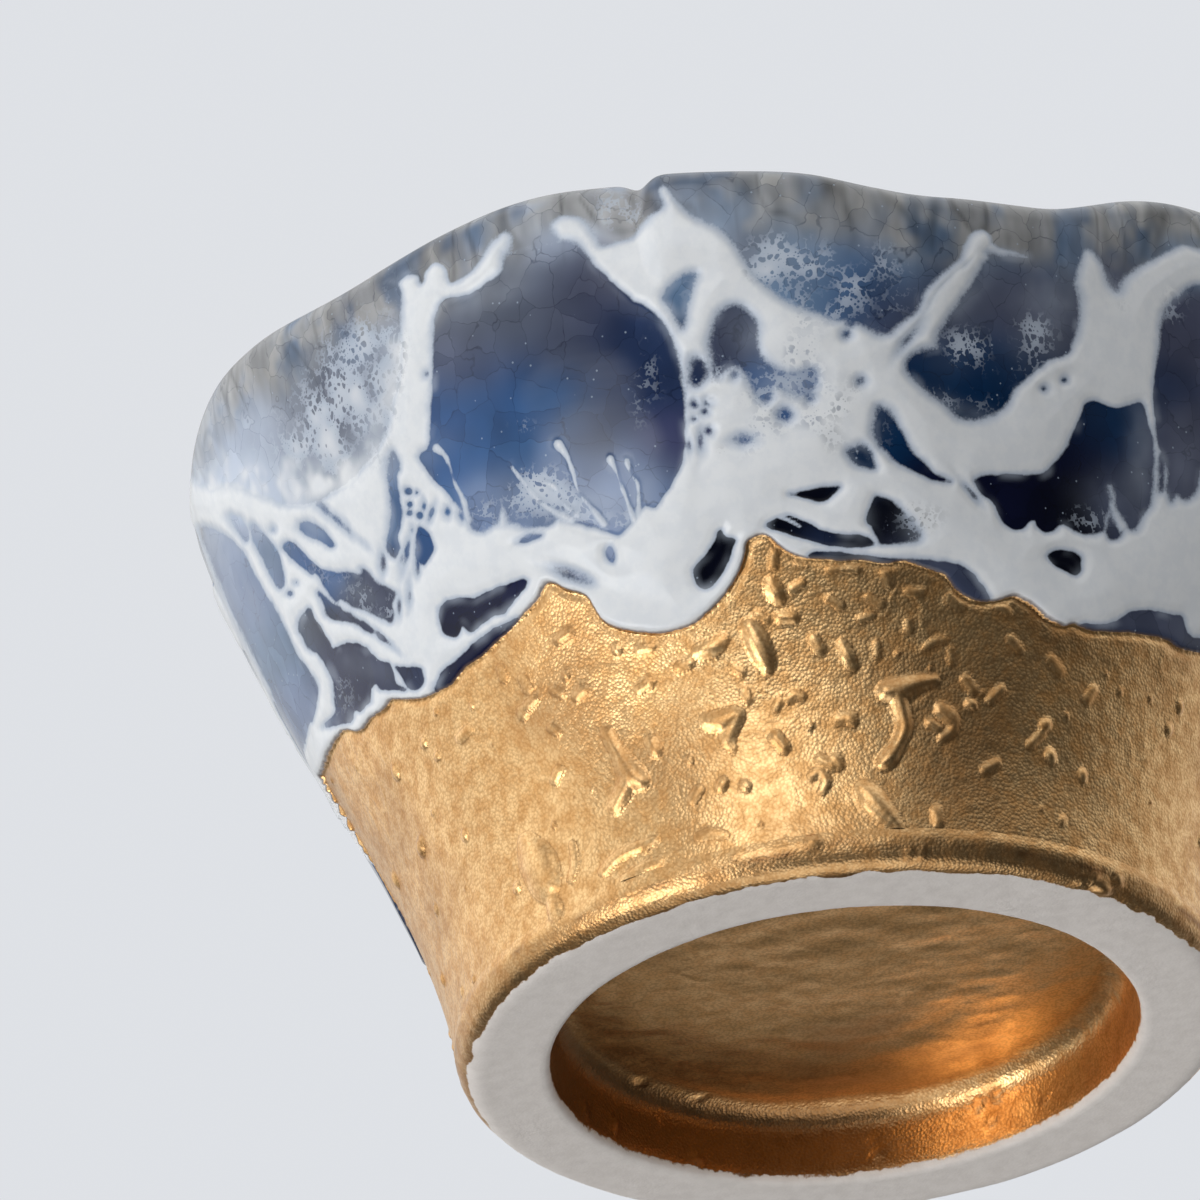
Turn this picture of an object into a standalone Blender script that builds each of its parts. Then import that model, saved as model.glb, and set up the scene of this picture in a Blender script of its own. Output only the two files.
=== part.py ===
"""A small hand-formed sake cup: hollow, empty, wavy at the rim, standing on a turned foot ring."""

import collections
import math

import bmesh
import bpy

# Lengths are metres. Heights run up from the flat of the foot ring.
# Azimuths are degrees about the cup's axis, from -Y (the side facing the viewer) towards +X.
MM = 0.001

# Foot ring and the recess turned into it
FOOT_RADIUS = 21.2 * MM
FOOT_HEIGHT = 2.0 * MM
FOOT_EDGE_ROUND = 1.3 * MM
RING_WIDTH = 5.0 * MM
RECESS_DEPTH = 4.5 * MM
RECESS_CORNER_ROUND = 1.6 * MM
RECESS_EDGE_ROUND = 0.4 * MM
RECESS_FLOOR_SWELL = 0.5 * MM

# Body: the outside flares from the foot to the mouth in a soft S
CUP_HEIGHT = 39.0 * MM
MOUTH_RADIUS = 33.8 * MM
FOOT_FLARE = 0.12
MOUTH_FLARE = 0.20

# Wall
LIP_THICKNESS = 2.6 * MM
WALL_AT_BOWL = 4.0 * MM
FLOOR_THICKNESS = 3.8 * MM
BOWL_ROUND = 11.0 * MM

# Hand-formed waves. They fade in over the wall from this height up to the lip.
WAVE_START = 9.0 * MM
Lobe = collections.namedtuple("Lobe", "azimuth reach size")
RIM_HEIGHT_LOBES = (
    Lobe(-70.0, 28.0, 1.8 * MM),
    Lobe(-27.0, 46.0, -2.4 * MM),
    Lobe(10.0, 38.0, -4.0 * MM),
    Lobe(30.0, 27.0, -1.7 * MM),
    Lobe(112.0, 38.0, -1.7 * MM),
    Lobe(160.0, 34.0, 1.3 * MM),
    Lobe(-136.0, 36.0, -1.5 * MM),
)
RIM_RADIUS_LOBES = (
    Lobe(-56.0, 33.0, -1.0 * MM),
    Lobe(-2.0, 40.0, 1.1 * MM),
    Lobe(35.0, 35.0, -2.4 * MM),
    Lobe(98.0, 40.0, 0.8 * MM),
    Lobe(150.0, 34.0, -1.4 * MM),
    Lobe(-160.0, 32.0, 0.9 * MM),
    Lobe(-118.0, 30.0, -0.7 * MM),
)

# Shallow dents left in the wall by the fingers
DENT_COUNT = 5
DENT_DEPTH = 0.25 * MM
DENT_AZIMUTH = 22.0

# Fineness of the faces
SEGMENTS = 88
WALL_RINGS = 15
INNER_RINGS = 11
BOWL_RINGS = 6
ROUND_RINGS = 3
LIP_RINGS = 7


def smooth_step(share):
    share = min(max(share, 0.0), 1.0)
    return share * share * (3.0 - 2.0 * share)


def lobe_sum(lobes, azimuth):
    """Sum at this azimuth of the cosine bells, each `reach` degrees wide to either side."""
    total = 0.0
    for lobe in lobes:
        away = abs((azimuth - lobe.azimuth + 180.0) % 360.0 - 180.0)
        if away < lobe.reach:
            total += 0.5 * lobe.size * (1.0 + math.cos(math.pi * away / lobe.reach))
    return total


def outer_radius(height):
    """The outside's radius, a cubic with a set slope at the foot and at the mouth."""
    span = CUP_HEIGHT - FOOT_HEIGHT
    t = min(max((height - FOOT_HEIGHT) / span, 0.0), 1.0)
    mouth_share = t * t * (3.0 - 2.0 * t)
    foot_slope = t * (1.0 - t) ** 2
    mouth_slope = t * t * (t - 1.0)
    radius = FOOT_RADIUS + (MOUTH_RADIUS - FOOT_RADIUS) * mouth_share
    return radius + span * (FOOT_FLARE * foot_slope + MOUTH_FLARE * mouth_slope)


def wave_share(height):
    return smooth_step((height - WAVE_START) / (CUP_HEIGHT - WAVE_START))


def dent(azimuth, height):
    """Inward push of the finger dents, strongest halfway up the wall."""
    t = min(max((height - WAVE_START) / (CUP_HEIGHT - WAVE_START), 0.0), 1.0)
    turn = math.radians(DENT_COUNT * (azimuth - DENT_AZIMUTH))
    return -DENT_DEPTH * math.sin(math.pi * t) * math.cos(turn)


def wall_point(azimuth, radius, height, centring):
    """A point of the wall, moved from its turned place by the waves and the dents."""
    share = wave_share(height)
    fullness = radius / outer_radius(height)
    push = lobe_sum(RIM_RADIUS_LOBES, azimuth) * share + dent(azimuth, height)
    radius += push * fullness
    turn = math.radians(azimuth)
    x = radius * math.sin(turn) + centring[0] * share
    y = -radius * math.cos(turn) + centring[1] * share
    return x, y, height + lobe_sum(RIM_HEIGHT_LOBES, azimuth) * share


def quarter_steps(count):
    """Angles from 0 to a quarter turn, both ends included."""
    return [0.5 * math.pi * k / count for k in range(count + 1)]


def foot_profile():
    """(radius, height) pairs from the recess floor out to the top of the foot's upright side."""
    recess_radius = FOOT_RADIUS - RING_WIDTH
    edge = min(RECESS_EDGE_ROUND, 0.3 * RING_WIDTH, 0.3 * RECESS_DEPTH)
    corner = min(RECESS_CORNER_ROUND, RECESS_DEPTH - edge - 0.2 * MM)
    outer = min(FOOT_EDGE_ROUND, 0.45 * RING_WIDTH, 0.9 * FOOT_HEIGHT)
    floor_radius = recess_radius - corner
    pairs = []
    for share in (0.35, 0.7):
        swell = RECESS_FLOOR_SWELL * (1.0 - share * share)
        pairs.append((floor_radius * share, RECESS_DEPTH - swell))
    for a in quarter_steps(ROUND_RINGS):
        pairs.append((floor_radius + corner * math.sin(a), RECESS_DEPTH - corner * (1.0 - math.cos(a))))
    for a in quarter_steps(2):
        pairs.append((recess_radius + edge * (1.0 - math.cos(a)), edge * (1.0 - math.sin(a))))
    for a in quarter_steps(ROUND_RINGS):
        pairs.append((FOOT_RADIUS - outer * (1.0 - math.sin(a)), outer * (1.0 - math.cos(a))))
    pairs.append((FOOT_RADIUS, FOOT_HEIGHT))
    return pairs


def outside_profile():
    """(radius, height) pairs up the outside, over the round lip."""
    lip_round = 0.5 * LIP_THICKNESS
    lip_base = CUP_HEIGHT - lip_round
    pairs = []
    for k in range(1, WALL_RINGS + 1):
        height = FOOT_HEIGHT + (lip_base - FOOT_HEIGHT) * k / WALL_RINGS
        pairs.append((outer_radius(height), height))
    for k in range(1, LIP_RINGS):
        a = math.pi * k / LIP_RINGS
        height = lip_base + lip_round * math.sin(a)
        pairs.append((outer_radius(height) - lip_round * (1.0 - math.cos(a)), height))
    return pairs


def inside_profile():
    """(radius, height) pairs down the inside, from the lip to the bowl's rounded bottom."""
    lip_base = CUP_HEIGHT - 0.5 * LIP_THICKNESS
    bowl_floor = RECESS_DEPTH + FLOOR_THICKNESS
    bowl_top = bowl_floor + BOWL_ROUND

    def inner_radius(height):
        t = (height - bowl_floor) / (lip_base - bowl_floor)
        return outer_radius(height) - WALL_AT_BOWL - (LIP_THICKNESS - WALL_AT_BOWL) * t

    pairs = []
    for k in range(INNER_RINGS):
        height = lip_base + (bowl_top - lip_base) * k / INNER_RINGS
        pairs.append((inner_radius(height), height))
    for a in reversed(quarter_steps(BOWL_RINGS)[1:]):
        height = bowl_floor + BOWL_ROUND * (1.0 - math.cos(a))
        pairs.append((inner_radius(height) * math.sin(a), height))
    return pairs, bowl_floor


def azimuths():
    return [360.0 * k / SEGMENTS for k in range(SEGMENTS)]


def mouth_centring(pairs):
    """The shift that brings the middle of the wavy mouth back over the middle of the foot."""
    points = [wall_point(a, r, h, (0.0, 0.0)) for r, h in pairs for a in azimuths()]
    shift = []
    for axis in range(2):
        values = [point[axis] for point in points]
        shift.append(-0.5 * (max(values) + min(values)))
    return tuple(shift)


def bridge(bm, lower, upper):
    for k in range(len(lower)):
        n = (k + 1) % len(lower)
        bm.faces.new((lower[k], lower[n], upper[n], upper[k]))


def fan(bm, ring, middle, flip):
    for k in range(len(ring)):
        n = (k + 1) % len(ring)
        corners = (ring[n], ring[k], middle) if flip else (ring[k], ring[n], middle)
        bm.faces.new(corners)


def build_cup():
    inside, bowl_floor = inside_profile()
    pairs = foot_profile() + outside_profile() + inside
    centring = mouth_centring(pairs)
    bm = bmesh.new()
    rings = []
    for radius, height in pairs:
        ring = [bm.verts.new(wall_point(a, radius, height, centring)) for a in azimuths()]
        rings.append(ring)
    for lower, upper in zip(rings, rings[1:]):
        bridge(bm, lower, upper)
    under = bm.verts.new((0.0, 0.0, RECESS_DEPTH - RECESS_FLOOR_SWELL))
    fan(bm, rings[0], under, True)
    fan(bm, rings[-1], bm.verts.new((0.0, 0.0, bowl_floor)), False)
    bmesh.ops.recalc_face_normals(bm, faces=bm.faces)
    mesh = bpy.data.meshes.new("cup")
    bm.to_mesh(mesh)
    bm.free()
    return bpy.data.objects.new("cup", mesh)


def glaze_material():
    """Blue glaze under white, glassy."""
    material = bpy.data.materials.new("cup_glaze")
    material.use_nodes = True
    shader = material.node_tree.nodes["Principled BSDF"]
    shader.inputs["Base Color"].default_value = (0.42, 0.47, 0.54, 1.0)
    shader.inputs["Roughness"].default_value = 0.15
    shader.inputs["Metallic"].default_value = 0.0
    return material


def main():
    for old in list(bpy.data.objects):
        bpy.data.objects.remove(old, do_unlink=True)
    cup = build_cup()
    cup.data.materials.append(glaze_material())
    bpy.context.scene.collection.objects.link(cup)


main()
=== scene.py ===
"""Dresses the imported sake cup: white lace over crackled blue glaze, gold lower wall, bare foot ring."""

import math

import bpy
import numpy as np
from mathutils import Matrix, Vector


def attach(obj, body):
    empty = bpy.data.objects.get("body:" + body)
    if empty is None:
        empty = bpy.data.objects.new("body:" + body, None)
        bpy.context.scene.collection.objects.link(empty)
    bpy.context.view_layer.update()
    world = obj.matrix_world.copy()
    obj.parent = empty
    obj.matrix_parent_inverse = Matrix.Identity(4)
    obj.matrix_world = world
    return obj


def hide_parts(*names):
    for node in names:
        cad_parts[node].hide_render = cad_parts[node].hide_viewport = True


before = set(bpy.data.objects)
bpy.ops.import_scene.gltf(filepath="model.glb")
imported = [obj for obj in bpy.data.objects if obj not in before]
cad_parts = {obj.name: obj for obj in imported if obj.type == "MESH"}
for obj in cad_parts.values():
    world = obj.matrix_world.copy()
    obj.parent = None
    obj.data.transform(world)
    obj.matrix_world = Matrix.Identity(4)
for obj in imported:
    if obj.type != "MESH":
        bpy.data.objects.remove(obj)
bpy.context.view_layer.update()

MM = 0.001

# Sizes of the cup, in millimetres, as in the CAD
FOOT_RADIUS, FOOT_HEIGHT, FOOT_EDGE_ROUND = 21.2, 2.0, 1.3
RING_WIDTH = 5.0
RECESS_DEPTH, RECESS_CORNER_ROUND, RECESS_EDGE_ROUND, RECESS_FLOOR_SWELL = 4.5, 1.6, 0.4, 0.5
CUP_HEIGHT, MOUTH_RADIUS, FOOT_FLARE, MOUTH_FLARE = 39.0, 33.8, 0.12, 0.20
LIP_THICKNESS, WALL_AT_BOWL, FLOOR_THICKNESS, BOWL_ROUND = 2.6, 4.0, 3.8, 11.0
WAVE_START = 9.0
# Waves of the rim: azimuth from -Y towards +X and reach in degrees, size in millimetres
RIM_HEIGHT_LOBES = ((-70, 28, 1.8), (-27, 46, -2.4), (10, 38, -4.0), (30, 27, -1.7),
                    (112, 38, -1.7), (160, 34, 1.3), (-136, 36, -1.5))
RIM_RADIUS_LOBES = ((-56, 33, -1.0), (-2, 40, 1.1), (35, 35, -2.4), (98, 40, 0.8),
                    (150, 34, -1.4), (-160, 32, 0.9), (-118, 30, -0.7))
DENT_COUNT, DENT_DEPTH, DENT_AZIMUTH = 5, 0.25, 22.0
CAD_SEGMENTS = 88

# The photograph's camera, in its own frame of 1200 x 1200 pixels
FRAME_PX = 1200.0
VIEW_BELOW = 30.65          # degrees below the horizon of the standing cup
VIEW_ROLL = 5.26            # degrees
CAMERA_AWAY = 380.0         # millimetres from the camera to the middle of the foot
RECESS_RADIUS_PX = 296.5    # the recess radius in the photograph
FOOT_MIDDLE_PX = (846.1, 1050.5)

SENSOR = 36.0               # millimetres
RECESS_RADIUS = FOOT_RADIUS - RING_WIDTH
FOCAL_PX = RECESS_RADIUS_PX * CAMERA_AWAY / RECESS_RADIUS
PX_PER_MM = FOCAL_PX / CAMERA_AWAY


def smooth(x, low, high):
    """0 below `low`, 1 above `high`, eased between."""
    t = np.clip((x - low) / (high - low), 0.0, 1.0)
    return t * t * (3.0 - 2.0 * t)


def camera_frame():
    """Camera position in millimetres, its right, up and forward directions."""
    e, roll = math.radians(VIEW_BELOW), math.radians(VIEW_ROLL)
    forward = np.array([0.0, math.cos(e), math.sin(e)])
    level, rise = np.array([1.0, 0.0, 0.0]), np.array([0.0, -math.sin(e), math.cos(e)])
    right = level * math.cos(roll) - rise * math.sin(roll)
    up = level * math.sin(roll) + rise * math.cos(roll)
    aside = (FOOT_MIDDLE_PX[0] - FRAME_PX / 2) / PX_PER_MM
    below = (FOOT_MIDDLE_PX[1] - FRAME_PX / 2) / PX_PER_MM
    return -forward * CAMERA_AWAY - right * aside + up * below, right, up, forward


CAMERA = camera_frame()


def project(points):
    """Pixels of the photograph where points of the cup, in millimetres, are seen."""
    place, right, up, forward = CAMERA
    ray = points - place
    depth = ray @ forward
    across = FRAME_PX / 2 + FOCAL_PX * (ray @ right) / depth
    return across, FRAME_PX / 2 - FOCAL_PX * (ray @ up) / depth


def hash01(ix, iy, iz, seed):
    """Repeatable random numbers from 0 to 1 at whole-number places."""
    n = (ix * 73856093) ^ (iy * 19349663) ^ (iz * 83492791) ^ (seed * 2654435761)
    n = n & 0xFFFFFFFF
    n = ((n ^ (n >> 16)) * 0x45D9F3B) & 0xFFFFFFFF
    n = ((n ^ (n >> 16)) * 0x45D9F3B) & 0xFFFFFFFF
    return ((n ^ (n >> 16)) & 0xFFFF) / 65535.0


def noise(points, size, seed=0):
    """Smooth noise from -1 to 1 with features about `size` millimetres across."""
    p = points / size
    cell = np.floor(p).astype(np.int64)
    f = p - cell
    f = f * f * (3.0 - 2.0 * f)
    total = np.zeros(len(points))
    for dx in (0, 1):
        for dy in (0, 1):
            for dz in (0, 1):
                weight = (f[:, 0] if dx else 1 - f[:, 0]) * (f[:, 1] if dy else 1 - f[:, 1])
                weight = weight * (f[:, 2] if dz else 1 - f[:, 2])
                total += weight * hash01(cell[:, 0] + dx, cell[:, 1] + dy, cell[:, 2] + dz, seed)
    return 2.0 * total - 1.0


def lobe_sum(lobes, azimuth):
    total = np.zeros_like(azimuth)
    for middle, reach, size in lobes:
        away = np.abs((azimuth - middle + 180.0) % 360.0 - 180.0)
        bell = 0.5 * size * (1.0 + np.cos(np.pi * np.minimum(away, reach) / reach))
        total += np.where(away < reach, bell, 0.0)
    return total


def outer_radius(height):
    span = CUP_HEIGHT - FOOT_HEIGHT
    t = np.clip((height - FOOT_HEIGHT) / span, 0.0, 1.0)
    radius = FOOT_RADIUS + (MOUTH_RADIUS - FOOT_RADIUS) * t * t * (3.0 - 2.0 * t)
    return radius + span * (FOOT_FLARE * t * (1.0 - t) ** 2 + MOUTH_FLARE * t * t * (t - 1.0))


# A nick in the rim where two folds of the wall meet: azimuth, size in millimetres, reach in degrees
NICK_AZIMUTH, NICK_DROP, NICK_REACH, FOLD_STEP, FOLD_REACH = -11.3, 0.40, 1.3, 0.36, 9.0
# Small rises of the rim over the CAD's smooth one, as the photograph shows: azimuth, millimetres
RIM_TRIM = ((-75, 0.0), (-65, -0.25), (-52, 0.15), (-42, 0.45), (-33, 0.70), (-26, 0.68), (-20, 0.72),
            (-14, 0.55), (-9, 0.62), (-1, 0.70), (4, 0.55), (7.5, 0.12), (11, 0.0), (14, 0.05), (17, 0.38),
            (20, 0.70), (25, 0.90), (30, 0.80), (36, 1.0), (40, 1.1), (45, 0.9), (60, 0.0))


def rim_trim(azimuth):
    """The small rises, joined softly."""
    places, sizes = np.array(RIM_TRIM, float).T
    return sum(np.interp(azimuth + d, places, sizes) for d in (-2.0, -1.0, 0.0, 1.0, 2.0)) / 5.0


def rim_nick(azimuth, share):
    """Radius and height change at the nick: the fold on its right stands proud of the one on its left."""
    away = (azimuth - NICK_AZIMUTH + 180.0) % 360.0 - 180.0
    near_rim = smooth(share, 0.80, 1.0)
    side = np.tanh(away / 0.9) * np.exp(-(away / FOLD_REACH) ** 2)
    drop = np.exp(-(away / NICK_REACH) ** 2)
    return near_rim * (FOLD_STEP * side - 0.3 * drop), -NICK_DROP * drop * near_rim


def wall_points(azimuth, radius, height, shift=(0.0, 0.0)):
    """Points of the turned profile moved by the hand-formed waves, in millimetres."""
    t = np.clip((height - WAVE_START) / (CUP_HEIGHT - WAVE_START), 0.0, 1.0)
    share = t * t * (3.0 - 2.0 * t)
    fullness = radius / outer_radius(height)
    dent = -DENT_DEPTH * np.sin(np.pi * t) * np.cos(np.radians(DENT_COUNT * (azimuth - DENT_AZIMUTH)))
    nick_out, nick_down = rim_nick(azimuth, share)
    radius = radius + (lobe_sum(RIM_RADIUS_LOBES, azimuth) * share + dent + nick_out) * fullness
    turn = np.radians(azimuth)
    x = radius * np.sin(turn) + shift[0] * share
    y = -radius * np.cos(turn) + shift[1] * share
    trim = rim_trim((azimuth + 180.0) % 360.0 - 180.0) * share
    return np.stack([x, y, height + lobe_sum(RIM_HEIGHT_LOBES, azimuth) * share + trim + nick_down], -1)


ROUND_POINTS = 13       # points along a quarter round of the profile
QUARTER = math.pi / 2


def foot_profile():
    """Radius and height from the middle of the recess out to the top of the foot's side."""
    edge, corner, outer = RECESS_EDGE_ROUND, RECESS_CORNER_ROUND, FOOT_EDGE_ROUND
    flat = RECESS_RADIUS - corner
    a = np.linspace(0.0, QUARTER, ROUND_POINTS)
    floor = np.array([0.0, 0.35, 0.7])
    r = np.concatenate([flat * floor, flat + corner * np.sin(a), RECESS_RADIUS + edge * (1 - np.cos(a)),
                        FOOT_RADIUS - outer * (1 - np.sin(a)), [FOOT_RADIUS]])
    h = np.concatenate([RECESS_DEPTH - RECESS_FLOOR_SWELL * (1 - floor ** 2),
                        RECESS_DEPTH - corner * (1 - np.cos(a)), edge * (1 - np.sin(a)),
                        outer * (1 - np.cos(a)), [FOOT_HEIGHT]])
    return r, h


def wall_profile():
    """Radius and height up the outside and over to the top of the lip."""
    half = LIP_THICKNESS / 2
    h = np.linspace(FOOT_HEIGHT, CUP_HEIGHT - half, 60)
    a = np.linspace(0.0, QUARTER, ROUND_POINTS)[1:]
    lip = CUP_HEIGHT - half + half * np.sin(a)
    return (np.concatenate([outer_radius(h), outer_radius(lip) - half * (1 - np.cos(a))]),
            np.concatenate([h, lip]))


def inner_profile():
    """Radius and height from the top of the lip down the inside to the middle of the bowl."""
    half = LIP_THICKNESS / 2
    base, floor = CUP_HEIGHT - half, RECESS_DEPTH + FLOOR_THICKNESS

    def inner(height):
        t = (height - floor) / (base - floor)
        return outer_radius(height) - WALL_AT_BOWL - (LIP_THICKNESS - WALL_AT_BOWL) * t

    a = np.linspace(QUARTER, math.pi, ROUND_POINTS)
    lip = base + half * np.sin(a)
    h = np.linspace(base, floor + BOWL_ROUND, 40)[1:]
    b = np.linspace(QUARTER, 0.0, 2 * ROUND_POINTS - 1)[1:]
    bowl = floor + BOWL_ROUND * (1 - np.cos(b))
    return (np.concatenate([outer_radius(lip) - half * (1 - np.cos(a)), inner(h), inner(bowl) * np.sin(b)]),
            np.concatenate([lip, h, bowl]))


def evenly(profile, spacing):
    """The profile's points set evenly along its length."""
    r, h = profile
    along = np.concatenate([[0.0], np.cumsum(np.hypot(np.diff(r), np.diff(h)))])
    want = np.linspace(0.0, along[-1], int(round(along[-1] / spacing)) + 1)
    return np.interp(want, along, r), np.interp(want, along, h)


def mouth_shift():
    """Keeps the middle of the wavy mouth over the middle of the foot, as in the CAD."""
    azimuth = np.arange(0.0, 360.0, 360.0 / CAD_SEGMENTS)
    r, h = evenly(wall_profile(), 0.4)
    points = wall_points(*np.broadcast_arrays(azimuth[None, :], r[:, None], h[:, None]))
    low, high = points.reshape(-1, 3).min(0), points.reshape(-1, 3).max(0)
    return tuple(-0.5 * (low + high)[:2])


SHIFT = mouth_shift()
FRONT_REACH = 100.0     # degrees either side of -Y that are meshed finely
FRONT_STEP, BACK_STEP = 0.27, 0.62      # degrees from column to column
WALL_SPACING, FOOT_SPACING, INSIDE_SPACING = 0.158, 0.32, 0.36      # millimetres from row to row


def azimuth_columns():
    """Azimuths of the mesh columns, finer on the side that the photograph shows. The count is even."""
    front = int(round(2 * FRONT_REACH / FRONT_STEP / 6)) * 6
    back = int(round((360.0 - 2 * FRONT_REACH) / BACK_STEP / 2)) * 2
    first = -FRONT_REACH + 2 * FRONT_REACH * np.arange(front) / front
    second = FRONT_REACH + (360.0 - 2 * FRONT_REACH) * np.arange(back) / back
    return np.concatenate([first, second]), front, back


COLUMNS, FRONT_COUNT, BACK_COUNT = azimuth_columns()


class Grid:
    """A band of the cup's surface, rows along the profile by columns round it, closed round."""

    def __init__(self, profile, spacing, columns):
        self.r, heights = evenly(profile, spacing)
        self.rows, self.cols = len(self.r), len(columns)
        a = np.broadcast_to(columns[None, :], (self.rows, self.cols))
        r = np.broadcast_to(self.r[:, None], a.shape)
        h = np.broadcast_to(heights[:, None], a.shape)
        self.base = wall_points(a, r, h, SHIFT)
        self.azimuth = (a + 180.0) % 360.0 - 180.0
        self.height = h
        self.normal = self.normals(self.base)

    def normals(self, points):
        along = np.gradient(points, axis=0)
        padded = np.concatenate([points[:, -1:], points, points[:, :1]], axis=1)
        n = np.cross(padded[:, 2:] - padded[:, :-2], along)
        n /= np.maximum(np.linalg.norm(n, axis=-1, keepdims=True), 1e-9)
        if self.r[0] < 1e-6:
            n[0] = (0.0, 0.0, -1.0)
        if self.r[-1] < 1e-6:
            n[-1] = (0.0, 0.0, 1.0)
        return n

    def flat(self, array):
        return array.reshape(self.rows * self.cols, -1).squeeze()


# Traces of the photograph, in pixels of its 1200 x 1200 frame. An outline is a run of x, y pairs.

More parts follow.
